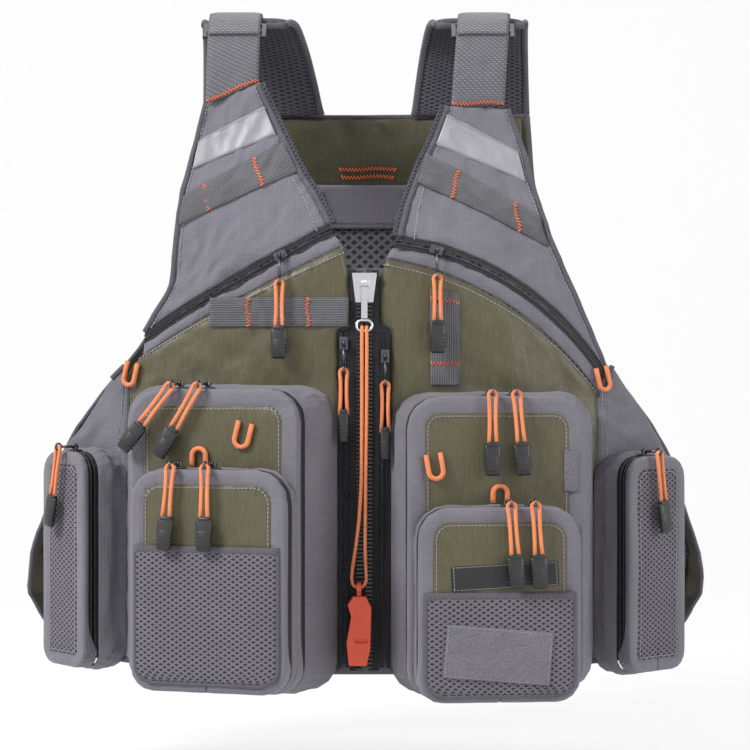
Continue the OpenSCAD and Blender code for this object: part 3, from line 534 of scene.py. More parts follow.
def softened(node: str, finish: Finish, body: str, slot: str, bevel: float,
             name: str, waist: float = 1.0) -> bpy.types.Object:
    """Copy a CAD solid with its edges rounded as a casting or moulding has them.

    Args:
        node: The CAD node.
        finish: Its finish.
        body: The body it rides on.
        slot: The record's material slot.
        bevel: Edge radius in millimetres.
        name: Name of the new piece.
        waist: Width at the bottom as a share of the width at the top.

    Returns:
        The piece that stands for the node.
    """
    maker = Maker(name)
    maker.bm.from_mesh(frame["nodes"][node].data)
    bm = maker.bm
    bmesh.ops.remove_doubles(bm, verts=bm.verts[:], dist=1e-5)
    bmesh.ops.dissolve_limit(bm, angle_limit=0.03, verts=bm.verts[:], edges=bm.edges[:])
    bmesh.ops.recalc_face_normals(bm, faces=bm.faces[:])
    low, high = (f(v.co.z for v in bm.verts) for f in (min, max))
    middle = sum(v.co.x for v in bm.verts) / len(bm.verts)
    for v in bm.verts:
        v.co.x = middle + (v.co.x - middle) * lerp(waist, 1.0, (v.co.z - low) / (high - low))
    sharp = [e for e in bm.edges if e.is_manifold and e.calc_face_angle(0.0) > 0.5]
    bmesh.ops.bevel(bm, geom=sharp, offset=bevel * MM, affect="EDGES", segments=2, profile=0.5,
                    material=-1, clamp_overlap=True)
    slot_index = maker.slot_of(finish)
    uv = bm.loops.layers.uv.verify()
    for f in bm.faces:
        f.smooth = f.calc_area() < 6e-5
        f.material_index = slot_index
        for loop in f.loops:
            loop[uv].uv = (loop.vert.co.x, loop.vert.co.z)
    return maker.done(body, slot, [node])


def rounded_cad(node: str, finish: Finish, bevel: float) -> bpy.types.Object:
    """Finish a CAD solid as it is, its edges rounded by modifiers.

    Args:
        node: The CAD node.
        finish: Its finish.
        bevel: Edge radius in millimetres.

    Returns:
        The node's object.
    """
    solid = frame["nodes"][node]
    solid.data.materials.clear()
    solid.data.materials.append(finish.material())
    weld = solid.modifiers.new("weld", "WELD")
    weld.merge_threshold = 1e-5
    edges = solid.modifiers.new("edges", "BEVEL")
    edges.width = bevel * MM
    edges.segments = 3
    edges.limit_method = "ANGLE"
    edges.angle_limit = math.radians(35)
    return solid


# ---------- the body's shape ----------
def lerp(a: float, b: float, t: float) -> float:
    """Between a and b."""
    return a + (b - a) * t


def ease(t: float) -> float:
    """Smooth step from 0 to 1."""
    c = min(max(t, 0.0), 1.0)
    return c * c * (3 - 2 * c)


def half_d(z: float) -> float:
    """Half depth of the body at a height."""
    return lerp(CHEST_D, NECK_D, ease((z - 380) / 140))


def angle_at(x: float) -> float:
    """Angle round the front of the body at a sideways distance."""
    return math.asin(min(max(x / BODY_W, -1.0), 1.0))


def oval(a: float, b: float, u: float, z: float, out: float) -> Vector:
    """Point on the body's oval, "out" outside it."""
    nx, ny = b * math.sin(u), -a * math.cos(u)
    k = out / math.hypot(nx, ny)
    return Vector((a * math.sin(u) + nx * k, -b * math.cos(u) + ny * k, z))


def folds(x: float, z: float, seed: float, wide: float = 42.0, lean: float = 0.5) -> float:
    """Soft folds of hung cloth, about -1 to 1.

    Args:
        x: Millimetres across.
        z: Millimetres up.
        seed: Picks the cloth.
        wide: Millimetres from fold to fold.
        lean: How far the folds lean from upright.

    Returns:
        Height of the fold.
    """
    a, b = (x + z * lean) / wide, (z - x * lean) / (wide * 2.1)
    big = noise.noise(Vector((a, b, seed)))
    mid = noise.noise(Vector((a * 2.3 + big, b * 2.7, seed + 7)))
    fine = noise.noise(Vector((a * 5.6, b * 6.3 + mid, seed + 13)))
    return 1.1 * big + 0.75 * (0.5 - abs(mid) * 2) + 0.26 * fine


def body_relief(x: float, z: float) -> float:
    """Folds of the body cloth in millimetres, shared by every layer sewn onto it."""
    calm = 0.6 + 0.3 * ease((300 - z) / 60) + 0.55 * ease((z - 330) / 40)
    return folds(x, z, 3.1, 36.0, 0.5 if x > 0 else -0.5) * 2.3 * calm - 0.9


def body_at(x: float, z: float, out: float) -> Vector:
    """Point on the front of the body, folds included."""
    return oval(BODY_W, half_d(z), angle_at(x), z, out + body_relief(x, z))


Station = tuple[float, ...]
SLIT_EDGE, FRONT_EDGE, SIDE = 22.3, 12.9, 271.998
FRONT = {
    RIGHT: [(196, 34, SLIT_EDGE, 30), (200, 150, SLIT_EDGE, 150), (202, 240, SLIT_EDGE, 260),
            (204, 280, SLIT_EDGE, 319.7), (204, 281, FRONT_EDGE, 320.3), (199, 290, FRONT_EDGE, 362),
            (191, 297, 18.5, 391)],
    LEFT: [(196, 34, SLIT_EDGE, 30), (199, 150, SLIT_EDGE, 150), (200, 225, SLIT_EDGE, 250, 4),
           (201, 252, SLIT_EDGE, 319.7, 14), (201, 253, FRONT_EDGE, 320.3, 14),
           (201, 260, FRONT_EDGE, 358, 17), (200, 266, 18.5, 380, 20)]}
WING = {
    RIGHT: [(268, 42, 196.4, 34), (SIDE, 120, 200.4, 150), (SIDE, 200, 202.4, 240),
            (262, 219, 203.4, 262), (249, 234, 204.4, 279), (218, 278, 207, 289)],
    LEFT: [(268, 42, 196.4, 34), (SIDE, 120, 199.4, 150), (SIDE, 200, 200.4, 225),
           (262, 219, 201.2, 245), (243, 249, 201.4, 259), (214, 289, 205, 268)]}
CHEST = {RIGHT: [(189.5, 308, 26, 400, 0), (189, 318, 30, 410, 0)],
         LEFT: [(205, 276, 24, 389, 22), (208, 286, 30, 399, 22)]}
BAND = {RIGHT: [(190.6, 297.4, 18.6, 391.6), (190, 303, 22, 396), CHEST[RIGHT][0]],
        LEFT: [(201, 267, 18.6, 380.6, 20), (203, 271.5, 21, 385, 21), CHEST[LEFT][0]]}
YOKE = {
    RIGHT: [CHEST[RIGHT][1], (166, 357, 42, 434), (160, 405, 54, 452), (156, 440, 64, 472),
            (148, 474, 76, 497), (138, 517, 93, 534)],
    LEFT: [CHEST[LEFT][1], (184, 342, 36, 424, 12), (160, 394, 44, 446, 4), (147, 436, 52, 466),
           (138, 472, 62, 487), (124, 512, 72, 514)]}
WORD = {LEFT: "left", RIGHT: "right"}


@dataclass
class FrontCloth:
    """One piece of cloth on the front of the body, between its stations."""

    name: str
    node: str
    side: int
    stations: list[Station]
    finish: Finish
    slot: str
    out: float = 0.0
    thick: float = 2.2
    cols: int = 44
    rows: int = 44
    puff: float = 0.9

    def station(self, v: float) -> list[float]:
        """The station at a share of the height, between its two neighbours."""
        full = [list(s) + [0] * (5 - len(s)) for s in self.stations]
        steps = [abs(b[1] - a[1]) + abs(b[3] - a[3]) for a, b in zip(full, full[1:])]
        left, k = v * sum(steps), 0
        while k < len(steps) - 1 and left > steps[k]:
            left -= steps[k]
            k += 1
        f = left / steps[k] if steps[k] else v
        return [lerp(a, b, min(f, 1.0)) for a, b in zip(full[k], full[k + 1])]

    def spot(self, u: float, v: float) -> tuple[float, float]:
        """Sideways distance and height at u, v."""
        s = self.station(v)
        t = u if self.side == RIGHT else 1 - u
        angle = self.side * lerp(angle_at(s[0]), angle_at(s[2]), t)
        return BODY_W * math.sin(angle), lerp(s[1], s[3], t) + s[4] * 4 * t * (1 - t)

    def place(self, u: float, v: float) -> Vector:
        """Point of the outside, with its sewn edges drawn in."""
        x, z = self.spot(u, v)
        left, low = self.spot(0, v), self.spot(u, 0)
        right, high = self.spot(1, v), self.spot(u, 1)
        near = min(abs(x - left[0]), abs(right[0] - x), abs(z - low[1]), abs(high[1] - z))
        dip = -1.5 * math.exp(-near / 3.5)
        return body_at(x, z, self.out + PANEL_T - 0.6 + self.puff * 0.4 + dip)

    def edge(self, which: str, n: int = 40, inset: float = 0.0, lift: float = 0.0) -> list[Vector]:
        """Points along one edge.

        Args:
            which: "outer", "inner", "low" or "high".
            n: Number of steps.
            inset: Share of the panel the line is drawn in from the edge.
            lift: Millimetres off the cloth.

        Returns:
            Millimetre points.
        """
        ends = {"outer": 0.0 if self.side == RIGHT else 1.0, "inner": 1.0 if self.side == RIGHT else 0.0,
                "low": 0.0, "high": 1.0}
        e = abs(ends[which] - inset)
        found = []
        for i in range(n + 1):
            u, v = (i / n, e) if which in ("low", "high") else (e, i / n)
            x, z = self.spot(u, v)
            found.append(body_at(x, z, self.out + PANEL_T - 0.3 + lift))
        return found

    def build(self) -> bpy.types.Object:
        maker = Maker(self.name)

        def flat(u: float, v: float) -> tuple[float, float]:
            """Lay the weave out flat.

            Args:
                u: Share across it.
                v: Share along it.

            Returns:
                Metres of cloth across and along.
            """
            x, z = self.spot(u, v)
            return angle_at(x) * 0.215, z * MM

        maker.surface(self.cols, self.rows, self.place, flat, self.finish)
        area = sum(f.calc_area() for f in maker.bm.faces)
        made = maker.done("root", self.slot, [self.node], self.thick)
        declare_cloth(made, area)
        return made


def declare_cloth(made: bpy.types.Object, area: float) -> None:
    """Work out the size a piece of cloth was cut to, laid flat; the result is not kept.

    Args:
        made: The piece.
        area: Its area in square metres.
    """
    uv = [loop.uv for loop in made.data.uv_layers[0].data]
    w, h = (max(c[k] for c in uv) - min(c[k] for c in uv) for k in (0, 1))
    cut = area * 0.97
    if cut < 0.31 * w * h:  # a slanted strip, measured along and across
        w, h = math.hypot(w, h), max(cut / math.hypot(w, h), 0.0101)
        cut = w * h


def stitches(maker: Maker, path: Sequence[Vector], finish: Finish, pitch: float = 3.6,
             long: float = 2.5, thick: float = 0.7) -> None:
    """Sew a line of single stitches along a path.

    Args:
        maker: The piece they belong to.
        path: Millimetre points.
        finish: The thread.
        pitch: Millimetres from stitch to stitch.
        long: Length of a stitch.
        thick: Thickness of the thread.
    """
    carry = 0.0
    for a, b in zip(path, path[1:]):
        d = b - a
        length = d.length
        if length < 1e-6:
            continue
        turn = d.to_track_quat("X", "Z").to_matrix().to_4x4()
        while carry < length:
            maker.block((long, thick, thick), Matrix.Translation(a + d * (carry / length)) @ turn,
                        finish, 0.0)
            carry += pitch
        carry -= length


def bartack(maker: Maker, a: Vector, b: Vector, out: Vector, finish: Finish = THREAD,
            wide: float = 1.5, pitch: float = 1.5) -> None:
    """Sew a dense zigzag between two points.

    Args:
        maker: The piece it belongs to.
        a: One end, in millimetres.
        b: The other end.
        out: Direction away from the cloth.
        finish: The thread.
        wide: Half the width of the zigzag.
        pitch: Millimetres from turn to turn.
    """
    d = b - a
    n = max(int(d.length / pitch), 2)
    side = d.cross(out).normalized() * wide
    bow = side * 0.5
    path = [a + d * (i / n) + side * (1 if i % 2 else -1) + bow * math.sin(i / n * 7) for i in range(n + 1)]
    maker.tube(path, 0.75, finish, 5)


# ---------- front ----------
@dataclass
class Front:
    """The front body: olive panels, grey wings, chest bands and yokes, with their edges."""

    cloths: dict[str, FrontCloth] = field(default_factory=dict)

    def build(self) -> None:
        """Lay each cloth on both sides."""
        for side in (RIGHT, LEFT):
            w = WORD[side]
            for kind, node, stations, finish, slot, size in (
                    ("panel", f"front_panel_{w}", FRONT[side], OLIVE_CLOTH, "olive_fabric", (46, 70)),
                    ("wing", "side_wings", WING[side], GREY, "grey_fabric", (20, 60)),
                    ("band", "chest_bands", BAND[side], GREY, "grey_fabric", (48, 6)),
                    ("yoke", f"front_yoke_{w}", YOKE[side], GREY, "grey_fabric", (40, 64))):
                cloth = FrontCloth(f"{kind}_{w}", node, side, stations, finish, slot,
                                   cols=size[0], rows=size[1])
                cloth.build()
                self.cloths[f"{kind}_{w}"] = cloth
        self.dress()

    def dress(self) -> None:
        """Bind the open edges and sew the seams."""
        maker = Maker("front_trim")
        out = Vector((0, -1, 0))
        for side in (RIGHT, LEFT):
            w = WORD[side]
            yoke, panel, wing = (self.cloths[f"{k}_{w}"] for k in ("yoke", "panel", "wing"))
            for line in (yoke.edge("outer"), yoke.edge("inner"), wing.edge("high", 16),
                         wing.edge("low", 16), panel.edge("low", 30)):
                maker.tube(line, 2.3, BINDING, 8, (0.62, out))
            for line in (yoke.edge("outer", 60, 0.05, 0.1), yoke.edge("inner", 60, 0.06, 0.1),
                         panel.edge("high", 60, 0.012, 0.1), wing.edge("inner", 60, 0.07, 0.1)):
                stitches(maker, line, GREY_THREAD)
            # mesh lining turned out along the neck
            rim = [p + Vector((-side * 4.2, 0.8, 0)) for p in yoke.edge("inner", 50)]
            maker.tube(rim, 3.0, PAD_NET, 8, (0.4, out))
        maker.done("root", "grey_fabric")


@dataclass
class Strip:
    """A strip of tape or webbing sewn onto a front cloth, with its bar tacks."""

    name: str
    node: str
    side: int
    stations: list[Station]
    finish: Finish
    slot: str
    thick: float
    tacks: list[tuple[float, float]] = field(default_factory=list)
    across: bool = False
    dashed: bool = False

    def build(self, trim: Maker) -> None:
        """Lay the strip and sew it down.

        Args:
            trim: The piece that holds the threads.
        """
        lay = FrontCloth(self.name, self.node, self.side, self.stations, self.finish, self.slot)
        low, high = lay.stations[0], lay.stations[-1]
        wide = math.hypot(low[0] - high[0], low[1] - high[1])
        maker = Maker(self.name)

        def lift(u: float, v: float) -> float:
            """Stand the strip off the cloth, with worn ripples and pressed edges.

            Args:
                u: Share across it.
                v: Share along it.

            Returns:
                Millimetres off the cloth.
            """
            ripple = 0.35 * math.sin(u * 19 + v * 2) if not self.across else 0.3 * math.sin(v * 17)
            edge = min(v, 1 - v) * wide if not self.across else min(u, 1 - u) * 25
            return LAYER + self.thick + ripple - 0.7 * math.exp(-edge / 1.2)

        def place(u: float, v: float) -> Vector:
            """Find a point of the strip.

            Args:
                u: Share across it.
                v: Share along it.

            Returns:
                Point in millimetres.
            """
            x, z = lay.spot(u, v)
            return body_at(x, z, lift(u, v))

        def flat(u: float, v: float) -> tuple[float, float]:
            """Lay the strip's weave out flat.

            Args:
                u: Share across it.
                v: Share along it.

            Returns:
                Metres of cloth across and along.
            """
            a, b = lay.spot(0, v), lay.spot(1, v)
            along = u * math.hypot(b[0] - a[0], b[1] - a[1]) * MM
            return (along, v * wide * MM) if not self.across else (v * wide * MM, along)

        maker.surface(48 if not self.across else 12, 12 if not self.across else 48, place, flat,
                      self.finish)
        maker.done("root", self.slot, [self.node], self.thick)
        for a, b in self.tacks:
            ends = [place(a, 0.02), place(b, 0.98)] if not self.across else [place(0.02, a), place(0.98, b)]
            bartack(trim, ends[0] + Vector((0, -0.5, 0)), ends[1] + Vector((0, -0.5, 0)),
                    Vector((0, -1, 0)))
        if self.dashed:
            for v in (0.06, 0.94):
                stitches(trim, [place(i / 40, v) + Vector((0, -0.2, 0)) for i in range(41)], GREY_THREAD)


def sew_strips() -> None:
    """Reflective tapes and attachment webbing on yokes and chest."""
    trim = Maker("strip_threads")
    rise = 26.0
    for side, low, high in ((RIGHT, (148, 459, 76.5, 489), (143, 485, 87, 514)),
                            (LEFT, (139, 447, 61.5, 480), (132, 475, 71.5, 507))):
        Strip(f"reflective_tape_{WORD[side]}", "reflective_tapes", side, [low, high], TAPE,
              "reflective", 0.6, dashed=True).build(trim)
    for name, side, stations, tacks, across in (
            ("yoke_webbing_right", RIGHT, [(158, 409, 57, 456), (155, 409 + rise, 70, 456 + rise)],
             [(0.27, 0.22), (0.72, 0.72)], False),
            ("yoke_webbing_left", LEFT, [(156, 391, 45, 446), (149, 391 + rise, 53, 446 + rise)],
             [(0.25, 0.27), (0.77, 0.77)], False),
            ("chest_webbing_right", RIGHT, [(131, 322, 13.5, 322), (131, 347, 13.5, 347)],
             [(0.29, 0.29), (0.72, 0.72)], False),
            ("chest_webbing_left", LEFT, [(80.5, 272, 55.5, 272), (80.5, 350, 55.5, 355)],
             [(0.23, 0.23), (0.9, 0.9)], True)):
        Strip(name, "webbing_strips", side, stations, RIBBED, "webbing", 1.6, tacks, across).build(trim)
    trim.done("root", "orange_cord")


# ---------- back ----------
BACK_SHELL = [(44, 0.93), (64, 0.965), (85, 0.99), (120, 1), (162, 1), (200, 1), (212, 0.985),
              (235, 0.945), (262, 0.88), (310, 0.75), (360, 0.65), (420, 0.585), (470, 0.56),
              (520, 0.545)]


@dataclass
class BackCloth:
    """One layer of the back, from its lowest station to its highest."""

    name: str
    stations: list[tuple[float, float]]
    out: float
    finish: Finish
    slot: str
    trim_sides: float = 0.0
    swing: float = 2.4
    ruffle: float = 0.0

    def row(self, v: float) -> tuple[float, float]:
        """Height and half width at a share of the height."""
        k = min(int(v * (len(self.stations) - 1)), len(self.stations) - 2)
        f = v * (len(self.stations) - 1) - k
        a, b = self.stations[k], self.stations[k + 1]
        return lerp(a[0], b[0], f), lerp(a[1], b[1], f)

    def place(self, u: float, v: float) -> Vector:
        """Point of the outside; u runs from the wearer's left to right."""
        z, share = self.row(v)
        half = BODY_W + 2 + 30 * ease((212 - z) / 127)
        angle = math.asin(share) * (1 - 2 * u) * (1 - self.trim_sides)
        x = half * math.sin(angle)
        out = self.out + folds(x, z, 9.3, 52.0, 0.2) * self.swing
        gather = self.ruffle * math.sin(x / 7.5 + 2 * math.sin(x / 23)) * ease((v - 0.55) / 0.4)
        return oval(half, half_d(z), math.pi - angle, z - abs(gather) * 1.2, out + gather)

    def build(self, cols: int = 70, rows: int = 60, thick: float = 1.6) -> bpy.types.Object:
        maker = Maker(self.name)

        def flat(u: float, v: float) -> tuple[float, float]:
            """Lay the back's weave out flat.

            Args:
                u: Share across it.
                v: Share along it.

            Returns:
                Metres of cloth across and along.
            """
            z, share = self.row(v)
            return math.asin(share) * (1 - 2 * u) * 0.21, z * MM

        maker.surface(cols, rows, self.place, flat, self.finish)
        area = sum(f.calc_area() for f in maker.bm.faces)
        made = maker.done("root", self.slot, [self.name], thick)
        declare_cloth(made, area)
        return made


@dataclass
class Back:
    """The back: olive shell, net lining, grey band and gathered olive yoke."""

    def build(self) -> None:
        """Lay the four layers and sew the band."""
        # Shell and yoke take the darker olive copy, which is painted shade.
        shell = BackCloth("back_panel", BACK_SHELL, 1.8, OLIVE_PAINTED_SHADE, "olive_fabric")
        shell.build(80, 90)
        lining = [s for s in BACK_SHELL if 44 < s[0] < 421]
        BackCloth("back_lining", lining, -1.4, BACK_NET, "mesh", 0.11, 0.5).build(60, 50, 1.0)
        band = BackCloth("back_band", [(421, 0.55), (458.6, 0.54)], -1.4, GREY, "grey_fabric",
                         swing=0.4)
        band.build(50, 10, 1.6)
        yoke = BackCloth("back_yoke", [(459, 0.54), (490, 0.53), (518, 0.525)], -1.6, OLIVE_PAINTED_SHADE,
                         "olive_fabric", swing=0.9, ruffle=1.5)
        yoke.build(110, 24, 1.4)
        trim = Maker("back_threads")
        inside = Vector((0, -1, 0))

        def on(x: float, z: float) -> Vector:
            """Point on the inside of the collar."""
            return oval(274, half_d(z), math.pi - angle_at(x), z, -4.4)

        for a, b in (((-24, 472), (28, 472)), ((-22, 465), (26, 465)), ((-42, 452), (-34, 429)),
                     ((36, 452), (44, 429))):
            bartack(trim, on(*a), on(*b), inside)
        maker_edge = [on(x, 420.0) for x in range(-120, 121, 4)]
        trim.tube(maker_edge, 2.2, BINDING, 8, (0.6, inside))
        # shell edges bound all the way round
        for u in (0.0, 1.0):
            trim.tube([shell.place(u, i / 60) + Vector((0, -0.6, 0)) for i in range(61)], 2.2, BINDING, 8)
        trim.tube([shell.place(i / 60, 0.0) for i in range(61)], 2.2, BINDING, 8)
        trim.tube([shell.place(i / 60, 1.0) for i in range(61)], 2.2, BINDING, 8)
        for u in (0.3, 0.7):
            for side in (-0.004, 0.004):
                stitches(trim, [shell.place(u + side, i / 70) + Vector((0, 0.2, 0)) for i in range(1, 70)],
                         GREY_THREAD, 4.0)
        for v in (0.82, 0.828):
            stitches(trim, [shell.place(i / 80, v) + Vector((0, 0.2, 0)) for i in range(1, 80)],
                     GREY_THREAD, 4.0)
        trim.done("root", "grey_fabric")
        softened("hang_loop", RIBBED, "root", "webbing", 0.8, "hang_loop_webbing")


# ---------- shoulders ----------
ARCH = [(-58, 514), (-52, 545), (-38, 575), (-14, 597), (14, 600), (39, 582), (53, 553), (61, 522)]


def arch_at(t: float) -> Vector:
    """Depth and height on the arch over a shoulder, front to back."""
    n = len(ARCH) - 1
    k = min(int(t * n), n - 1)
    f = t * n - k
    p, q, r, s = (Vector(ARCH[min(max(k + i, 0), n)]) for i in (-1, 0, 1, 2))
    return ((2 * q) + (r - p) * f + (2 * p - 5 * q + 4 * r - s) * f * f
            + (3 * q - p - 3 * r + s) * f ** 3) / 2


def arch_out(t: float) -> Vector:
    """Direction away from the shoulder."""
    d = arch_at(min(t + 0.01, 1)) - arch_at(max(t - 0.01, 0))
    return Vector((-d.y, d.x)).normalized()


@dataclass
class ShoulderBand:
    """A band over the shoulder with a crowned, closed section."""

    t0: tuple[float, float]
    t1: float
    xa: tuple[float, float]
    xb: tuple[float, float]
    out: float
    thick: float
    crown: float = 0.0

    def at(self, f: float, v: float, rise: float) -> Vector:
        """Point at a share of the width and length, rise 0 inside to 1 outside."""
        t = lerp(lerp(self.t0[0], self.t0[1], f), self.t1, v)
        a, o = arch_at(t), arch_out(t)
        swell = self.crown * (1 - (2 * f - 1) ** 4) * (2 * rise - 1)
        p = a + o * (self.out + self.thick * rise + swell)
        return Vector((lerp(lerp(self.xa[0], self.xa[1], t), lerp(self.xb[0], self.xb[1], t), f), p.x, p.y))

    def build(self, maker: Maker, finish: Finish, rows: int = 40, under: Finish | None = None) -> None:
        """Draw the band as a closed skin round its section.

        Args:
            maker: The piece it belongs to.
            finish: Outside finish.
            rows: Steps along it.
            under: Finish of the side next to the body.
        """
        width = abs(self.xb[0] - self.xa[0])
        length = 260.0 * (self.t1 - min(self.t0))

        def section(u: float) -> tuple[float, float]:
            """Go round the band's flattened section.

            Args:
                u: Share round it.

            Returns:
                Share across and share of its thickness.
            """
            w = u * 2
            if w <= 1:
                return lerp(0.0, 1.0, w), 1 - 0.5 * (abs(2 * w - 1)) ** 9
            return lerp(1.0, 0.0, w - 1), 0.5 * (abs(2 * (w - 1) - 1)) ** 9

        def place(u: float, v: float) -> Vector:
            """Find a point of the band's skin.

            Args:
                u: Share round the ring.
                v: Share of the way along.

            Returns:
                Point in millimetres.
            """
            f, rise = section(u)
            return self.at(f, v, rise)

        def flat(u: float, v: float) -> tuple[float, float]:
            """Across and along the band, in metres."""
            return section(u)[0] * width * MM, v * length * MM

        before = set(maker.bm.edges)
        maker.surface(32, rows, place, flat, finish, closed=True,
                      choose=(lambda u, v: finish if u < 0.5 else under) if under else None)
        ends = [e for e in maker.bm.edges if e not in before and e.is_boundary]
        bmesh.ops.holes_fill(maker.bm, edges=ends, sides=0)


@dataclass
class Shoulders:
    """Webbing straps with folded tails, on padded net pads with bound edges."""

    strap_x: tuple = ((-115, -115), (98, 116))
    pad_inner: tuple = ((-92, -40), (76, 45))
    pad_outer: tuple = ((-140, -147), (138, 149))
    strap_from: tuple = ((0.022, 0.103), (0.008, 0.012))

    def build(self) -> None:
        """Make straps, pads, binding and the orange bars at the strap ends."""
        straps = Maker("shoulder_webbing")
        trim = Maker("shoulder_trim")
        for k in (0, 1):
            a = tuple(x - 23 for x in self.strap_x[k])
            b = tuple(x + 23 for x in self.strap_x[k])
            strap = ShoulderBand(self.strap_from[k], 0.64, a, b, SEAM, 2.0, 0.0)
            strap.build(straps, TWILL)
            ShoulderBand((0.3, 0.3), 0.6, a, b, 2.0 + 2 * SEAM, 2.0, 0.3).build(straps, TWILL, 24)
            out = Vector((0, -1, 0.1))
            bartack(trim, strap.at(0.02, 0.012, 1.35), strap.at(0.98, 0.012, 1.35), out, wide=1.3)
            pads = Maker(f"shoulder_pad_{('right', 'left')[k]}")
            xa, xb = self.pad_outer[k], self.pad_inner[k]
            if k:
                xa, xb = xb, xa
            pad = ShoulderBand((0.41, 0.41), 1.0, xa, xb, -7.4, 6.8, 0.5)
            pad.build(pads, PAD_NET, 44)
            made = pads.done("root", "spacer_mesh", ["shoulder_pads"])
            for f in (0.0, 1.0):
                trim.tube([pad.at(f, i / 40, 0.5) for i in range(41)], 3.0, BINDING, 10)
            trim.tube([pad.at(i / 12, 0.0, 0.5) for i in range(13)], 3.0, BINDING, 10)
        straps.done("root", "webbing", ["shoulder_straps"])
        trim.done("root", "grey_fabric")
        softened("strap_buckles", ACETAL, "root", "buckle", 0.6, "strap_buckle_bars")


# ---------- pockets ----------
def arc(cx: float, cz: float, r: float, start: float) -> list[tuple[float, float]]:
    """Quarter of a circle in five points, clockwise."""
    turns = [math.radians(start - 22.5 * i) for i in range(5)]
    return [(cx + r * math.cos(a), cz + r * math.sin(a)) for a in turns]


def outline(w: float, h: float, rt: float, rb: float, dx: float = 0.0) -> list[tuple[float, float]]:
    """Rounded outline of a pocket, clockwise from the middle of its bottom."""
    x, z = w / 2, h / 2
    pts = [(0, -z), (-(x - rb) / 2, -z), *arc(-x + rb, -z + rb, rb, -90), (-x, 0),
           *arc(-x + rt, z - rt, rt, 180), (-(x - rt) / 3, z), ((x - rt) / 3, z),
           *arc(x - rt, z - rt, rt, 90), (x, 0), *arc(x - rb, -z + rb, rb, 0), ((x - rb) / 2, -z)]
    return [(a + dx, b) for a, b in pts]


def along_loop(pts: list[tuple[float, float]], s: float) -> tuple[float, float]:
    """Point at a float index of a closed outline."""
    k = int(s) % len(pts)
    a, b = pts[k], pts[(k + 1) % len(pts)]
    f = s - int(s)
    return lerp(a[0], b[0], f), lerp(a[1], b[1], f)


ZIP_FIRST, ZIP_LAST, STATIONS = 6, 21, 27
HALF_ZIP, ZIP_GAP, WALL = 3.6, 1.6, 2.4


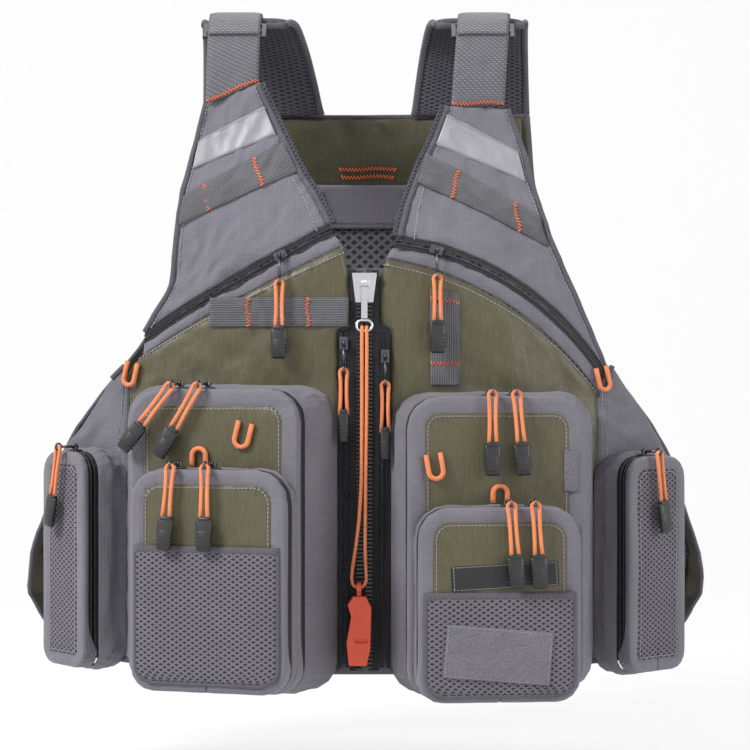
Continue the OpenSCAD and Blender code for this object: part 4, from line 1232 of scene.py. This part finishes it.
@dataclass
class Pocket:
    """A box pocket: gusset, zip round its top and sides, and a face with a border."""

    name: str
    kind: str
    seat: tuple[float, float]
    turn: float
    w: float
    h: float
    depth: float
    rim: float
    seat_w: float
    seat_h: float
    shift: float
    rt: float
    rb: float
    border: float
    centre: Finish
    parent: "Pocket | None" = None
    pouch: tuple[float, float] | None = None
    seed: float = 1.0

    def to_hem(self, x: float, y: float, z: float) -> Vector:
        """From the pocket's own frame to the body's."""
        if self.parent:
            return self.parent.to_hem(x + self.seat[0], y - self.depth - SEAM, z + self.seat[1])
        t = math.radians(self.turn)
        seat = oval(BODY_W, half_d(self.seat[1]), angle_at(self.seat[0]), self.seat[1], LAYER)
        n = Vector((-math.sin(t), -math.cos(t), 0))
        return seat + n * self.depth + Vector((x * math.cos(t) + y * math.sin(t),
                                               -x * math.sin(t) + y * math.cos(t), z))

    def seat_depth(self, x: float, z: float) -> float:
        """How far behind the face the cloth it is sewn to lies."""
        if self.parent:
            return self.depth + 1.8
        t = math.radians(self.turn)
        s, c = math.sin(t), math.cos(t)
        f = self.to_hem(0, 0, 0)
        x0, y0 = f.x + x * c, f.y - x * s
        out = LAYER - 1.8
        a2, b2 = (BODY_W + out) ** 2, (CHEST_D + out) ** 2
        k2 = b2 * s * s + a2 * c * c
        k1 = b2 * x0 * s + a2 * y0 * c
        k0 = b2 * x0 * x0 + a2 * y0 * y0 - a2 * b2
        return (-k1 - math.sqrt(max(k1 * k1 - k2 * k0, 0))) / k2

    @property
    def zip_back(self) -> float:
        """Where the gusset starts behind the zip."""
        return self.rim + 2 * SEAM + 2 * HALF_ZIP + ZIP_GAP

    @property
    def zip_mid(self) -> float:
        """Depth of the middle of the zip."""
        return self.rim + SEAM + HALF_ZIP + ZIP_GAP / 2

    def face(self, inset: float) -> list[tuple[float, float]]:
        """Outline of the face drawn in by an inset."""
        return outline(self.w - 2 * inset, self.h - 2 * inset, max(self.rt - inset, 1),
                       max(self.rb - inset, 1))

    def relief(self, x: float, z: float) -> float:
        """Small folds of the face cloth, in millimetres."""
        return 0.95 * folds(x, z, self.seed, 27.0, 0.3) - 0.5

    def lid(self) -> None:
        """The face: rim, rounded edge with piping, border and sunken seam."""
        maker = Maker(f"{self.name}_face")
        rings = [("rim", 0.0), ("rim", 0.5), ("rim", 0.86), (0.6, 2.0), (1.8, 0.7), (4.0, 0.0), (7.0, -0.15),
                 (self.border - 4, -0.2), (self.border - 1.4, 0.1), (self.border, 1.0),
                 (self.border + 1.4, 0.2), (self.border + 4.5, 0.0)]
        inner = 10
        total = len(rings) - 1 + inner
        last = self.face(min(self.border + 4.5, self.w / 2 - 4))

        def place(u: float, v: float) -> Vector:
            """Find a point of the lid.

            Args:
                u: Share round the ring.
                v: Share of the way along.

            Returns:
                Point in millimetres.
            """
            s = u * STATIONS
            k = round(v * total)
            if k < len(rings):
                at, deep = rings[k]
                if at == "rim":
                    x, z = along_loop(self.face(0.0), s)
                    on_zip = ZIP_FIRST <= s <= ZIP_LAST
                    back = self.rim if on_zip else self.zip_back - SEAM
                    wave = 0.35 * math.sin(s * 4.3 + self.seed)
                    push = Vector((x / self.w, 0, z / self.h)) * wave
                    return self.to_hem(x + push.x, lerp(back, 3.4, deep), z + push.z)
                x, z = along_loop(self.face(at), s)
                y = deep - self.relief(x, z) * min(at / 7, 1)
                pucker = 0.4 * math.sin(s * 7.7) * math.exp(-abs(at - self.border) / 3)
                return self.to_hem(x, y + pucker, z)
            f = 1 - (k - len(rings) + 1) / inner
            ex, ez = along_loop(last, s)
            x, z = ex * f, ez * f
            return self.to_hem(x, -self.relief(x, z) - 0.5 * (1 - f * f), z)

        def flat(u: float, v: float) -> tuple[float, float]:
            """Lay the lid's weave out flat.

            Args:
                u: Share round the ring.
                v: Share of the way along.

            Returns:
                Metres of cloth across and along.
            """
            s = u * STATIONS
            k = round(v * total)
            if k < len(rings):
                at, deep = rings[k]
                x, z = along_loop(self.face(0.0 if at == "rim" else at), s)
                grow = 1 + (0.12 * (1 - deep) if at == "rim" else 0)
                return x * grow * MM, z * grow * MM
            f = 1 - (k - len(rings) + 1) / inner
            x, z = along_loop(last, s)
            return x * f * MM, z * f * MM

        edge = 9.5 / total
        maker.surface(STATIONS * 5, total, place, flat, GREY, closed=True, flip=True,
                      choose=lambda u, v: GREY if v < edge else self.centre)
        maker.done("root", "olive_fabric" if self.kind != "side" else "grey_fabric",
                   [f"{self.kind}_pocket_lids"], 1.6, 1)

    def gusset(self) -> None:
        """The gathered side wall between the zip and the cloth behind."""
        maker = Maker(f"{self.name}_gusset")
        front = self.face(0.0)
        back = outline(self.seat_w, self.seat_h, self.rt + 3, self.rb + 3, self.shift)
        rows = 12

        def place(u: float, v: float) -> Vector:
            """Find a point of the gusset.

            Args:
                u: Share round the ring.
                v: Share of the way along.

            Returns:
                Point in millimetres.
            """
            s = u * STATIONS
            a, b = along_loop(front, s), along_loop(back, s)
            x, z = lerp(a[0], b[0], v), lerp(a[1], b[1], v)
            y = lerp(self.zip_back, self.seat_depth(b[0], b[1]), v)
            belly = 1.6 * math.sin(math.pi * min(v * 1.4, 1))
            along = flat(u, v)[0] / MM
            wave = folds(along, v * 40, self.seed + 5, 26.0, 0.2) * 2.2 * math.sin(math.pi * v)
            push = (belly + wave) if not self.parent else (belly + wave) * 0.5
            seam = -0.9 * math.exp(-abs(v - 0.56) / 0.03) if not self.parent else 0.0
            return self.to_hem(x + (push + seam) * 2 * x / self.w, y, z + (push + seam) * 2 * z / self.h)

        run = [0.0]
        for p, q in zip(front, [*front[1:], front[0]]):
            run.append(run[-1] + math.hypot(q[0] - p[0], q[1] - p[1]))

        def flat(u: float, v: float) -> tuple[float, float]:
            """Lay the gusset's weave out flat.

            Args:
                u: Share round the ring.
                v: Share of the way along.

            Returns:
                Metres of cloth across and along.
            """
            k = min(int(u * STATIONS), STATIONS - 1)
            return lerp(run[k], run[k + 1], u * STATIONS - k) * MM, v * self.depth * 1.3 * MM

        maker.surface(STATIONS * 6, rows, place, flat, GREY, closed=True)
        maker.done("root", "grey_fabric", [f"{self.kind}_pocket_gussets"], 1.6, 1)

    def zip(self, maker: Maker) -> None:
        """Tapes and teeth of the zip round the pocket.

        Args:
            maker: The piece that holds all the zips.
        """
        line = self.face(WALL / 2)
        n = (ZIP_LAST - ZIP_FIRST) * 6
        spots = [along_loop(line, ZIP_FIRST + (ZIP_LAST - ZIP_FIRST) * i / n) for i in range(n + 1)]
        run = [0.0]
        for p, q in zip(spots, spots[1:]):
            run.append(run[-1] + math.hypot(q[0] - p[0], q[1] - p[1]))
        mid = self.zip_mid
        for lo, hi in ((self.rim - 1.0, mid - 0.8), (mid + 0.8, self.zip_back + 1.0)):
            maker.surface(n, 2, lambda u, v: self.to_hem(spots[round(u * n)][0], lerp(lo, hi, v),
                                                         spots[round(u * n)][1]),
                          lambda u, v: (v * (hi - lo) * MM, run[round(u * n)] * MM), ZIP_TAPE)
        for y in (mid - 1.75, mid + 1.75):
            maker.tube([self.to_hem(x, y, z) for x, z in spots], 0.9, GLINT_PAINTED_TEETH, 6)

    def dress(self, maker: Maker) -> None:
        """Stitch the border of the face.

        Args:
            maker: The piece that holds the threads.
        """
        loop = self.face(self.border + 2.6)
        n = STATIONS * 4
        pts = [along_loop(loop, i / 4) for i in range(n + 1)]
        stitches(maker, [self.to_hem(x, -self.relief(x, z) - 0.1, z) for x, z in pts], GREY_THREAD)

    def build(self, zips: Maker, threads: Maker) -> None:
        """Make the pocket.

        Args:
            zips: Holds the zips.
            threads: Holds the threads.
        """
        self.gusset()
        self.lid()
        self.zip(zips)
        self.dress(threads)
        if self.pouch:
            self.net_pouch(threads)

    def net_pouch(self, threads: Maker) -> None:
        """The net patch pocket on the face, with its bound top edge."""
        h, up = self.pouch
        w = self.w - 12
        low = -self.h / 2 + up
        maker = Maker(f"{self.name}_net")

        def place(u: float, v: float) -> Vector:
            """Find a point of the net.

            Args:
                u: Share across it.
                v: Share along it.

            Returns:
                Point in millimetres.
            """
            x, z = (u - 0.5) * w, low + v * h
            corner = max(self.rb - 6, 4)
            if v * h < corner:
                cut = corner - math.sqrt(max(corner ** 2 - (corner - v * h) ** 2, 0))
                x *= (w / 2 - cut) / (w / 2)
            near = min((w / 2 - abs(x)), v * h + 1.0, (1 - v) * h + 2)
            puff = (1 - math.exp(-near / 5)) * 2.6
            return self.to_hem(x, -SEAM - 0.3 - puff + 0.25 * folds(x, z, self.seed + 2, 26.0, 0.1), z)

        def flat(u: float, v: float) -> tuple[float, float]:
            """Lay the net's mesh out flat.

            Args:
                u: Share across it.
                v: Share along it.

            Returns:
                Metres of cloth across and along.
            """
            p = place(u, v)
            return (u - 0.5) * w * MM, p.z * MM

        maker.surface(48, 36, place, flat, POUCH_NET)
        maker.done("root", "mesh", ["mesh_pockets"], 0.7)
        hem_line = [place(i / 40, 1.0) for i in range(41)]
        threads.tube([p + Vector((0, 0, -2.6)) for p in hem_line], 3.4, BINDING, 8,
                     (0.42, Vector((0, 1, 0))))
        sides = [place(0.0, 1 - i / 20) for i in range(20)] + [place(i / 30, 0.0) for i in range(31)]
        sides += [place(1.0, i / 20) for i in range(1, 21)]
        threads.tube(sides, 1.7, BINDING, 6, (0.6, Vector((0, 1, 0))))


def pockets() -> dict[str, Pocket]:
    """The six pockets of the front."""
    br = Pocket("pocket_big_right", "big", (-113, 143), 16, 149, 253, 46, 10, 185, 259, -3, 27, 22,
                14, OLIVE_CLOTH, seed=2.2)
    bl = Pocket("pocket_big_left", "big", (106, 139), -5, 149, 249, 46, 10, 177, 255, 4, 27, 22, 14,
                OLIVE_CLOTH, seed=4.7)
    return {
        "big_right": br, "big_left": bl,
        "small_right": Pocket("pocket_small_right", "small", (6, -31), 0, 136, 183, 30, 8, 136, 183,
                              0, 27, 20, 12, OLIVE_CLOTH, br, (112, 8), 6.1),
        "small_left": Pocket("pocket_small_left", "small", (-2, -46), 0, 134, 160, 30, 8, 134, 160,
                             0, 26, 20, 12, OLIVE_CLOTH, bl, (84, 6), 8.4),
        "side_right": Pocket("pocket_side_right", "side", (-241, 122), 50, 68, 186, 25, 6, 76, 190,
                             0, 20, 16, 11, POUCH_NET, seed=10.9),
        "side_left": Pocket("pocket_side_left", "side", (236, 118), -40, 72, 186, 25, 6, 84, 190, 0,
                            20, 16, 11, POUCH_NET, seed=12.3)}


def pocket_details(found: dict[str, Pocket], threads: Maker) -> None:
    """Loop patch, plain label and hook tab.

    Args:
        found: The pockets.
        threads: Holds the threads.
    """
    small = found["small_left"]

    def patch(name: str, node: str, finish: Finish, slot: str, size: tuple, at: tuple, tilt: float,
              deep: float, thick: float, rough: float) -> None:
        """Sew one small patch on the pocket, tilted and with turned edges.

        Args:
            name: Name of the piece.
            node: CAD node it stands for.
            finish: Its finish.
            slot: Its slot.
            size: Width and height in millimetres.
            at: Its middle on the pocket.
            tilt: Degrees it leans.
            deep: Depth of its face.
            thick: How far its edges drop.
            rough: Height of its nap.
        """
        maker = Maker(name)
        c, s = math.cos(math.radians(tilt)), math.sin(math.radians(tilt))

        def place(u: float, v: float) -> Vector:
            """Find a point of the patch.

            Args:
                u: Share across it.
                v: Share along it.

            Returns:
                Point in millimetres.
            """
            a, b = (u - 0.5) * size[0], (v - 0.5) * size[1]
            near = min(size[0] / 2 - abs(a), size[1] / 2 - abs(b))
            fuzz = rough * noise.noise(Vector((a * 0.9, b * 0.9, 3.0)))
            y = deep - thick * (1 - math.exp(-near / 0.7)) + fuzz
            return small.to_hem(at[0] + a * c + b * s, y, at[1] - a * s + b * c)

        maker.surface(66, 34, place, lambda u, v: (u * size[0] * MM, v * size[1] * MM), finish)
        maker.done("root", slot, [node], 0.8)
        edge = [(0.02, 0.04), (0.98, 0.04), (0.98, 0.96), (0.02, 0.96), (0.02, 0.04)]
        line = [place(lerp(p[0], q[0], i / 20), lerp(p[1], q[1], i / 20)) + Vector((0, -0.1, 0))
                for p, q in zip(edge, edge[1:]) for i in range(20)]
        stitches(threads, line, GREY_THREAD, 2.8, 1.9, 0.5)

    big = found["big_left"]
    tab = Maker("hook_tab")
    tab.surface(12, 24, lambda u, v: big.to_hem(62 + (u - 0.5) * 12, -0.9 - 0.4 * math.sin(u * math.pi),
                                                62 + (v - 0.5) * 34),
                lambda u, v: (u * 0.012, v * 0.034), PILE)
    tab.done("root", "loop_pile", thick=0.8)
    patch("loop_pile_patch", "loop_patch", PILE, "loop_pile", (88, 44), (-2, -40), 5, -3.2, 2.0, 0.35)
    patch("plain_label_patch", "label_patch", LABEL, "label", (88, 20), (4, 24), -3, -0.5, 1.0, 0.0)


# ---------- zips of the front ----------
def front_zips(maker: Maker) -> None:
    """Main zip with moulded teeth, and the slit and chest zips.

    Args:
        maker: The piece that holds the zips.
    """
    y = -CHEST_D - PANEL_T / 2
    low, high = 30.0, 370.0
    tape_in, tape_w = 3.4, 9.0
    tooth_x, pitch = 3.85, 3.4
    chain = Maker("front_zip_chain")
    for s in (-1, 1):
        chain.surface(2, 60, lambda u, v: Vector((s * tape_in + s * lerp(0.0, tape_w, u if s > 0 else 1 - u),
                                                  y, lerp(low, high, v))),
                      lambda u, v: (u * 0.009, v * 0.34), ZIP_TAPE, flip=False)
        for i in range(int((high - low) / pitch)):
            z = low + 1.4 + i * pitch + (pitch / 2 if s > 0 else 0)
            chain.block((5.6, 4.0, 1.9), Matrix.Translation((s * tooth_x, y, z)), CHAIN, 0.0)
        chain.block((5.6, 4.2, 4.0), Matrix.Translation((s * tooth_x, y, high - 0.8 - 1.2)), CHAIN, 0.5)
    chain.done("root", "zip_tape", ["front_zip"])
    guard = Maker("zip_guard")
    # The guard takes the darker grey copy: painted shade behind the zip.
    guard.surface(8, 60, lambda u, v: Vector(((u - 0.5) * 54, 4.1 - CHEST_D + 0.5 * math.sin(v * 21),
                                              lerp(26.0, 372.0, v))),
                  lambda u, v: (u * 0.054, v * 0.346), GREY_PAINTED_SHADE)
    guard.done("root", "grey_fabric", thick=0.8)
    slit_x = 17.5
    for s in (-1, 1):
        for e in (-1, 1):
            mid = s * slit_x + e * 2.6
            maker.surface(1, 40, lambda u, v: Vector((mid + (u - 0.5) * 3.6, y, lerp(32.5, 317.5, v))),
                          lambda u, v: (u * 0.0036, v * 0.285), ZIP_TAPE)
            maker.tube([Vector((s * slit_x + e * 1.75, y, z)) for z in range(33, 318, 4)], 0.9, GLINT_PAINTED_TEETH, 6)
    for side in (RIGHT, LEFT):
        lay = FrontCloth("chest_zip", "zip_tapes", side, CHEST[side], ZIP_TAPE, "zip_tape")
        for v0, v1, bead in ((0.04, 0.41, 0.36), (0.59, 0.96, 0.64)):
            maker.surface(44, 2, lambda u, v: flat_spot(lay, u, lerp(v0, v1, v)),
                          lambda u, v: (v * 0.004, u * 0.19), ZIP_TAPE)
            maker.tube([flat_spot(lay, i / 44, bead) for i in range(45)], 0.9, GLINT_PAINTED_TEETH, 6)


def flat_spot(lay: FrontCloth, u: float, v: float) -> Vector:
    """Point of a chest zip, which lies flat in its gap."""
    x, z = lay.spot(u, v)
    return oval(BODY_W, half_d(z), angle_at(x), z, PANEL_T / 2)


# ---------- sliders and pulls ----------
@dataclass
class Pull:
    """A slider's pull: metal link, orange cord loop and moulded rubber grip.

    Reach and drop take the cord's bend from the pin, lean turns it sideways and away tips it forwards.
    """

    name: str
    reach: float
    drop: float
    lean: float
    cord_l: float = 44.0
    grip_w: float = 14.0
    away: float = 3.0
    slot: str = "pull"

    def frame_at(self) -> Matrix:
        """The pin's place and turn in millimetres, from its joint."""
        joint = next(j for j in frame["joints"] if j["name"] == f"{self.name}_swing")
        x = -Vector(joint["axis"]).normalized()
        z = Vector((0, 0, 1))
        turn = Matrix((x, z.cross(x), z)).transposed().to_4x4()
        return Matrix.Translation(Vector(joint["pos_m"]) / MM + LOOP_AT) @ turn

    def build(self) -> None:
        """Make link, cord and grip, and round the slider's edges."""
        pin = self.frame_at()
        body = f"{self.name}_pull"
        hang = (pin @ Matrix.Translation((0, -self.reach, -self.drop))
                @ Matrix.Rotation(math.radians(self.lean), 4, "Y")
                @ Matrix.Rotation(math.radians(-self.away), 4, "X"))
        link = Maker(f"{self.name}_link")
        bend = Vector((0, -self.reach, -self.drop))
        eye = [Vector((0, 1.9 * math.cos(a), 1.9 * math.sin(a))) for a in
               (math.tau * i / 12 for i in range(13))]
        link.tube([pin @ p for p in eye], 0.85, GUNMETAL, 6)
        ring = [bend + Vector((0, 2.9 * math.cos(a), 2.9 * math.sin(a))) for a in
                (math.tau * i / 14 for i in range(15))]
        link.tube([pin @ p for p in ring], 0.9, GUNMETAL, 6)
        d = bend.normalized()
        link.tube([pin @ (d * 2.2), pin @ (bend - d * 2.9)], 1.15, GUNMETAL, 8)
        link.done(body, self.slot, [body])
        r, bow, seated = 3.2, 0.7, 3
        top = [Vector((-r * math.cos(a), 0, -r + r * math.sin(a))) for a in
               (math.pi * i / 10 for i in range(11))]
        legs = [Vector((-r, 0, -z)) for z in (self.cord_l + seated, self.cord_l * 0.75,
                                              self.cord_l * 0.5, self.cord_l * 0.25)]
        path = [Vector((p.x + bow * math.sin(-p.z / self.cord_l * math.pi), p.y, p.z)) for p in legs]
        other = [Vector((-p.x, p.y, p.z)) for p in reversed(path)]
        line = [hang @ p for p in [*path, *top, *other]]
        cord = Maker(f"{self.name}_cord")
        cord.tube(line, 1.6, BRAID_CORD_PAINTED_LIGHT, 8)
        cord_piece = cord.done(body, self.slot)
        metres = [row_point(p) for p in line]
        grip = Maker(f"{self.name}_grip")
        middle = hang @ Matrix.Translation((0, 0, -self.cord_l - 13))
        grip.block((self.grip_w, 4.6, 26), middle, RUBBER, 2.1, 3, 0.86)
        for side in (-1, 1):
            grip.block((self.grip_w * 0.55, 0.8, 13), middle @ Matrix.Translation((0, side * 2.3, -3)),
                       RUBBER, 0.35)
        for z in (2.0, -1.0, -4.0, -7.0):
            grip.block((self.grip_w * 0.98, 5.2, 1.1), middle @ Matrix.Translation((0, 0, z)), RUBBER, 0.3)
        grip.block((self.grip_w * 0.72, 5.3, 4), middle @ Matrix.Translation((0, 0, 13.0)), RUBBER, 1.2)
        grip.done(body, self.slot)
        softened(f"{self.name}_slider", GUNMETAL, f"{self.name}_slider", "gunmetal", 0.35,
                 f"{self.name}_slider_casting")


PULLS = [Pull("big_right_outer", 20.8, 0, 38), Pull("big_right_inner", 20.8, 0, 30),
         Pull("big_left_inner", 20.8, 0, 0), Pull("big_left_outer", 20.8, 0, -5),
         Pull("small_right_outer", 18.8, 0, 4), Pull("small_right_inner", 18.8, 0, 0),
         Pull("small_left_inner", 18.8, 0, -4), Pull("small_left_outer", 18.8, 0, -3),
         Pull("side_right", 16.8, 0, 8), Pull("side_left", 16.8, 0, -4),
         Pull("chest_right", 2.5, 22, 0, 40), Pull("chest_left", 2.5, 22, 0, 40),
         Pull("slit_right", 2.5, 22, 0, 36, 9.4), Pull("slit_left", 2.5, 22, 0, 40, 9.4)]


# ---------- lanyard ----------
ROUTE = [(-1.9, -110.6, 321.5), (-1.9, -113.2, 320.6), (-2, -113.9, 317.5), (-2.1, -114.2, 312),
         (-2.1, -114.5, 300), (-2.1, -114.5, 280), (-2.1, -114.5, 250), (-2.2, -114.5, 220),
         (-2.6, -114.5, 190), (-4.4, -114.5, 160), (-7.4, -114.5, 135), (-10, -114.5, 118),
         (-10.6, -114.5, 109), (-8.8, -114.5, 104), (-4.5, -114.5, 102), (-0.2, -114.5, 104),
         (1.6, -114.5, 109), (1.4, -114.5, 118), (0.8, -114.5, 135), (1, -114.5, 160),
         (1.2, -114.5, 190), (1.7, -114.5, 220), (1.9, -114.5, 250), (2, -114.5, 280),
         (2.1, -114.5, 300), (2.1, -114.2, 312), (2, -113.9, 317.5), (1.9, -113.2, 320.6),
         (1.9, -110.6, 321.5)]


def spline(pts: Sequence[Sequence[float]], steps: int) -> list[Vector]:
    """Smooth curve through points.

    Args:
        pts: Points it passes.
        steps: Steps between two of them.

    Returns:
        Points along the curve.
    """
    n = len(pts) - 1
    found = []
    for k in range(n):
        p, q, r, s = (Vector(pts[min(max(k + i, 0), n)]) for i in (-1, 0, 1, 2))
        for i in range(steps):
            t = i / steps
            found.append(((2 * q) + (r - p) * t + (2 * p - 5 * q + 4 * r - s) * t * t
                          + (3 * q - p - 3 * r + s) * t ** 3) / 2)
    return [*found, Vector(pts[-1])]


@dataclass
class Lanyard:
    """Whistle on a looped cord that hangs from the front slider's ring."""

    diameter: float = 3.0

    def build(self) -> None:
        """Sweep the cord and round the whistle."""
        line = spline(ROUTE, 3)
        cord = Maker("whistle_lanyard")
        cord.tube(line, self.diameter / 2, BRAID_CORD_PAINTED_LIGHT, 10)
        piece = cord.done("lanyard", "orange_cord", ["lanyard_cord"])
        whistle = rounded_cad("whistle", ABS, 1.4)
        path = [row_point(p) for p in line]


@dataclass
class GearLoops:
    """Cord loops sewn to armholes and pockets."""

    diameter: float = 4.2

    def loop(self, maker: Maker, at: Callable[[Vector], Vector], half: float, leg: float) -> None:
        """Draw one loop.

        Args:
            maker: The piece it belongs to.
            at: Own frame to body millimetres.
            half: Half its width inside.
            leg: Length of its legs.
        """
        arc_pts = [Vector((-half * math.cos(a), 0, -leg - half * math.sin(a))) for a in
                   (math.pi * i / 12 for i in range(13))]
        pts = [Vector((-half, 0, 0)), Vector((-half, 0, -leg / 2)), *arc_pts,
               Vector((half, 0, -leg / 2)), Vector((half, 0, 0))]
        maker.tube([at(p) for p in pts], self.diameter / 2, BRAID_CORD_PAINTED_LIGHT, 8)

    def build(self, found: dict[str, Pocket]) -> None:
        """Make all six loops.

        Args:
            found: The pockets they are sewn to.
        """
        maker = Maker("gear_loop_cords")
        off = self.diameter / 2 + SEAM
        for x, z, turn in ((-198, 292, 14), (202, 288, -14)):
            base = oval(BODY_W, half_d(z), angle_at(x), z, PANEL_T + off)
            rot = (Matrix.Rotation(math.radians(22 if x > 0 else -22), 4, "Z")
                   @ Matrix.Rotation(math.radians(turn), 4, "Y"))
            self.loop(maker, lambda p: base + rot @ p, 5, 15)
        for name, x, z, turn, leg in (("big_right", 30, 99, 14, 15), ("big_left", -54, 77, -10, 15),
                                      ("big_right", -11, 62, 180, 9), ("big_left", 2, 36, 180, 8)):
            rot = Matrix.Rotation(math.radians(turn), 4, "Y")
            pocket = found[name]

            def at(p: Vector) -> Vector:
                """Carry a loop's point on to its pocket.

                Args:
                    p: Point in the loop's own frame.

                Returns:
                    Point in millimetres.
                """
                q = rot @ p
                return pocket.to_hem(x + q.x, q.y - off, z + q.z)

            self.loop(maker, at, 6, leg)
        maker.done("root", "orange_cord", ["gear_loops"])


# ---------- studio ----------
@dataclass
class Studio:
    """Camera, lamps, pale floor and backdrop."""

    floor_z: float = -0.57

    def camera(self) -> None:
        """Stand the camera level in front of the chest."""
        data = bpy.data.cameras.new("camera")
        data.lens, data.sensor_width = 100.0, 36.0
        made = bpy.data.objects.new("camera", data)
        made.location = (0.009, -1.94, -0.225)
        made.rotation_euler = (math.pi / 2, 0, 0)
        bpy.context.scene.collection.objects.link(made)
        bpy.context.scene.camera = made

    def lamp(self, name: str, at: Sequence[float], size: float, power: float) -> None:
        """Hang one soft lamp that faces the chest.

        Args:
            name: Its name.
            at: Its place in metres.
            size: Side in metres.
            power: Watts.
        """
        data = bpy.data.lights.new(name, "AREA")
        data.size, data.energy = size, power
        made = bpy.data.objects.new(name, data)
        made.location = at
        aim = Vector((0, -0.1, -0.25)) - Vector(at)
        made.rotation_euler = aim.to_track_quat("-Z", "Y").to_euler()
        bpy.context.scene.collection.objects.link(made)

    def build(self) -> None:
        """Light the scene and lay the floor."""
        scene = bpy.context.scene
        scene.view_settings.view_transform = "Standard"
        world = bpy.data.worlds.new("studio")
        scene.world = world
        world.use_nodes = True
        tree = world.node_tree
        back = tree.nodes["Background"]
        back.inputs["Color"].default_value = (1, 1, 1, 1)
        path = add_node(tree, "ShaderNodeLightPath")
        seen = add_node(tree, "ShaderNodeMath", {"operation": "MAXIMUM"},
                        {0: path.outputs["Is Camera Ray"], 1: path.outputs["Is Glossy Ray"]})
        level = add_node(tree, "ShaderNodeMapRange", {"To Min": 0.3, "To Max": 1.0},
                         {"Value": seen.outputs[0]})
        tree.links.new(level.outputs[0], back.inputs["Strength"])
        self.lamp("key_lamp", (-1.7, -1.3, 1.4), 0.8, 72)
        self.lamp("fill_lamp", (1.8, -1.2, 0.3), 1.2, 20)
        self.lamp("top_lamp", (0.1, 0.6, 1.7), 1.2, 16)
        self.floor()

    def floor(self) -> None:
        """Lay a pale sheet that sweeps up behind."""
        bm = bmesh.new()
        made = bmesh.ops.create_grid(bm, x_segments=2, y_segments=24, size=0.5)["verts"]
        for v in made:
            s = (v.co.y + 0.5) * 24
            x = v.co.x * 9
            if s <= 8:
                v.co = Vector((x, lerp(-3.2, 1.4, s / 8), self.floor_z))
            elif s <= 18:
                a = (s - 8) / 10 * math.pi / 2
                v.co = Vector((x, 1.4 + 0.8 * math.sin(a), self.floor_z + 0.8 * (1 - math.cos(a))))
            else:
                v.co = Vector((x, 2.2, self.floor_z + lerp(0.8, 3.0, (s - 18) / 6)))
        for f in bm.faces:
            f.smooth = True
        mesh = bpy.data.meshes.new("floor")
        bm.to_mesh(mesh)
        bm.free()
        sheet = bpy.data.objects.new("floor", mesh)
        bpy.context.scene.collection.objects.link(sheet)
        paper = bpy.data.materials.new("white_paper")
        paper.use_nodes = True
        tree = paper.node_tree
        shader = tree.nodes["Principled BSDF"]
        shader.inputs["Base Color"].default_value = linear("#f2f2f2")
        shader.inputs["Roughness"].default_value = 0.9
        glow = add_node(tree, "ShaderNodeEmission", {"Color": (1, 1, 1, 1), "Strength": 1.0})
        path = add_node(tree, "ShaderNodeLightPath")
        seen = add_node(tree, "ShaderNodeMath", {"operation": "MAXIMUM"},
                        {0: path.outputs["Is Camera Ray"], 1: path.outputs["Is Glossy Ray"]})
        part = add_node(tree, "ShaderNodeMath", {"operation": "MULTIPLY", 1: 0.8}, {0: seen.outputs[0]})
        mixed = add_node(tree, "ShaderNodeMixShader", {}, {0: part.outputs[0], 1: shader.outputs[0],
                                                           2: glow.outputs[0]})
        tree.links.new(mixed.outputs[0], tree.nodes["Material Output"].inputs["Surface"])
        mesh.materials.append(paper)


def main() -> None:
    """Build the vest in order."""
    logging.basicConfig(level=logging.INFO, format="%(name)s %(message)s")
    studio = Studio()
    studio.camera()
    Lanyard().build()
    studio.build()
    Front().build()
    sew_strips()
    Back().build()
    Shoulders().build()
    zips, threads = Maker("zip_tapes_and_teeth"), Maker("pocket_threads")
    found = pockets()
    for pocket in found.values():
        pocket.build(zips, threads)
    pocket_details(found, threads)
    front_zips(zips)
    zips.done("root", "zip_tape", ["zip_tapes"])
    threads.done("root", "grey_fabric")
    GearLoops().build(found)
    for pull in PULLS:
        pull.build()
    softened("main_slider", NICKEL, "main_slider", "silver", 0.6, "front_slider_casting", 0.72)
    softened("main_pull", NICKEL, "main_pull", "silver", 0.4, "front_pull_tab")


if __name__ == "__main__":
    main()
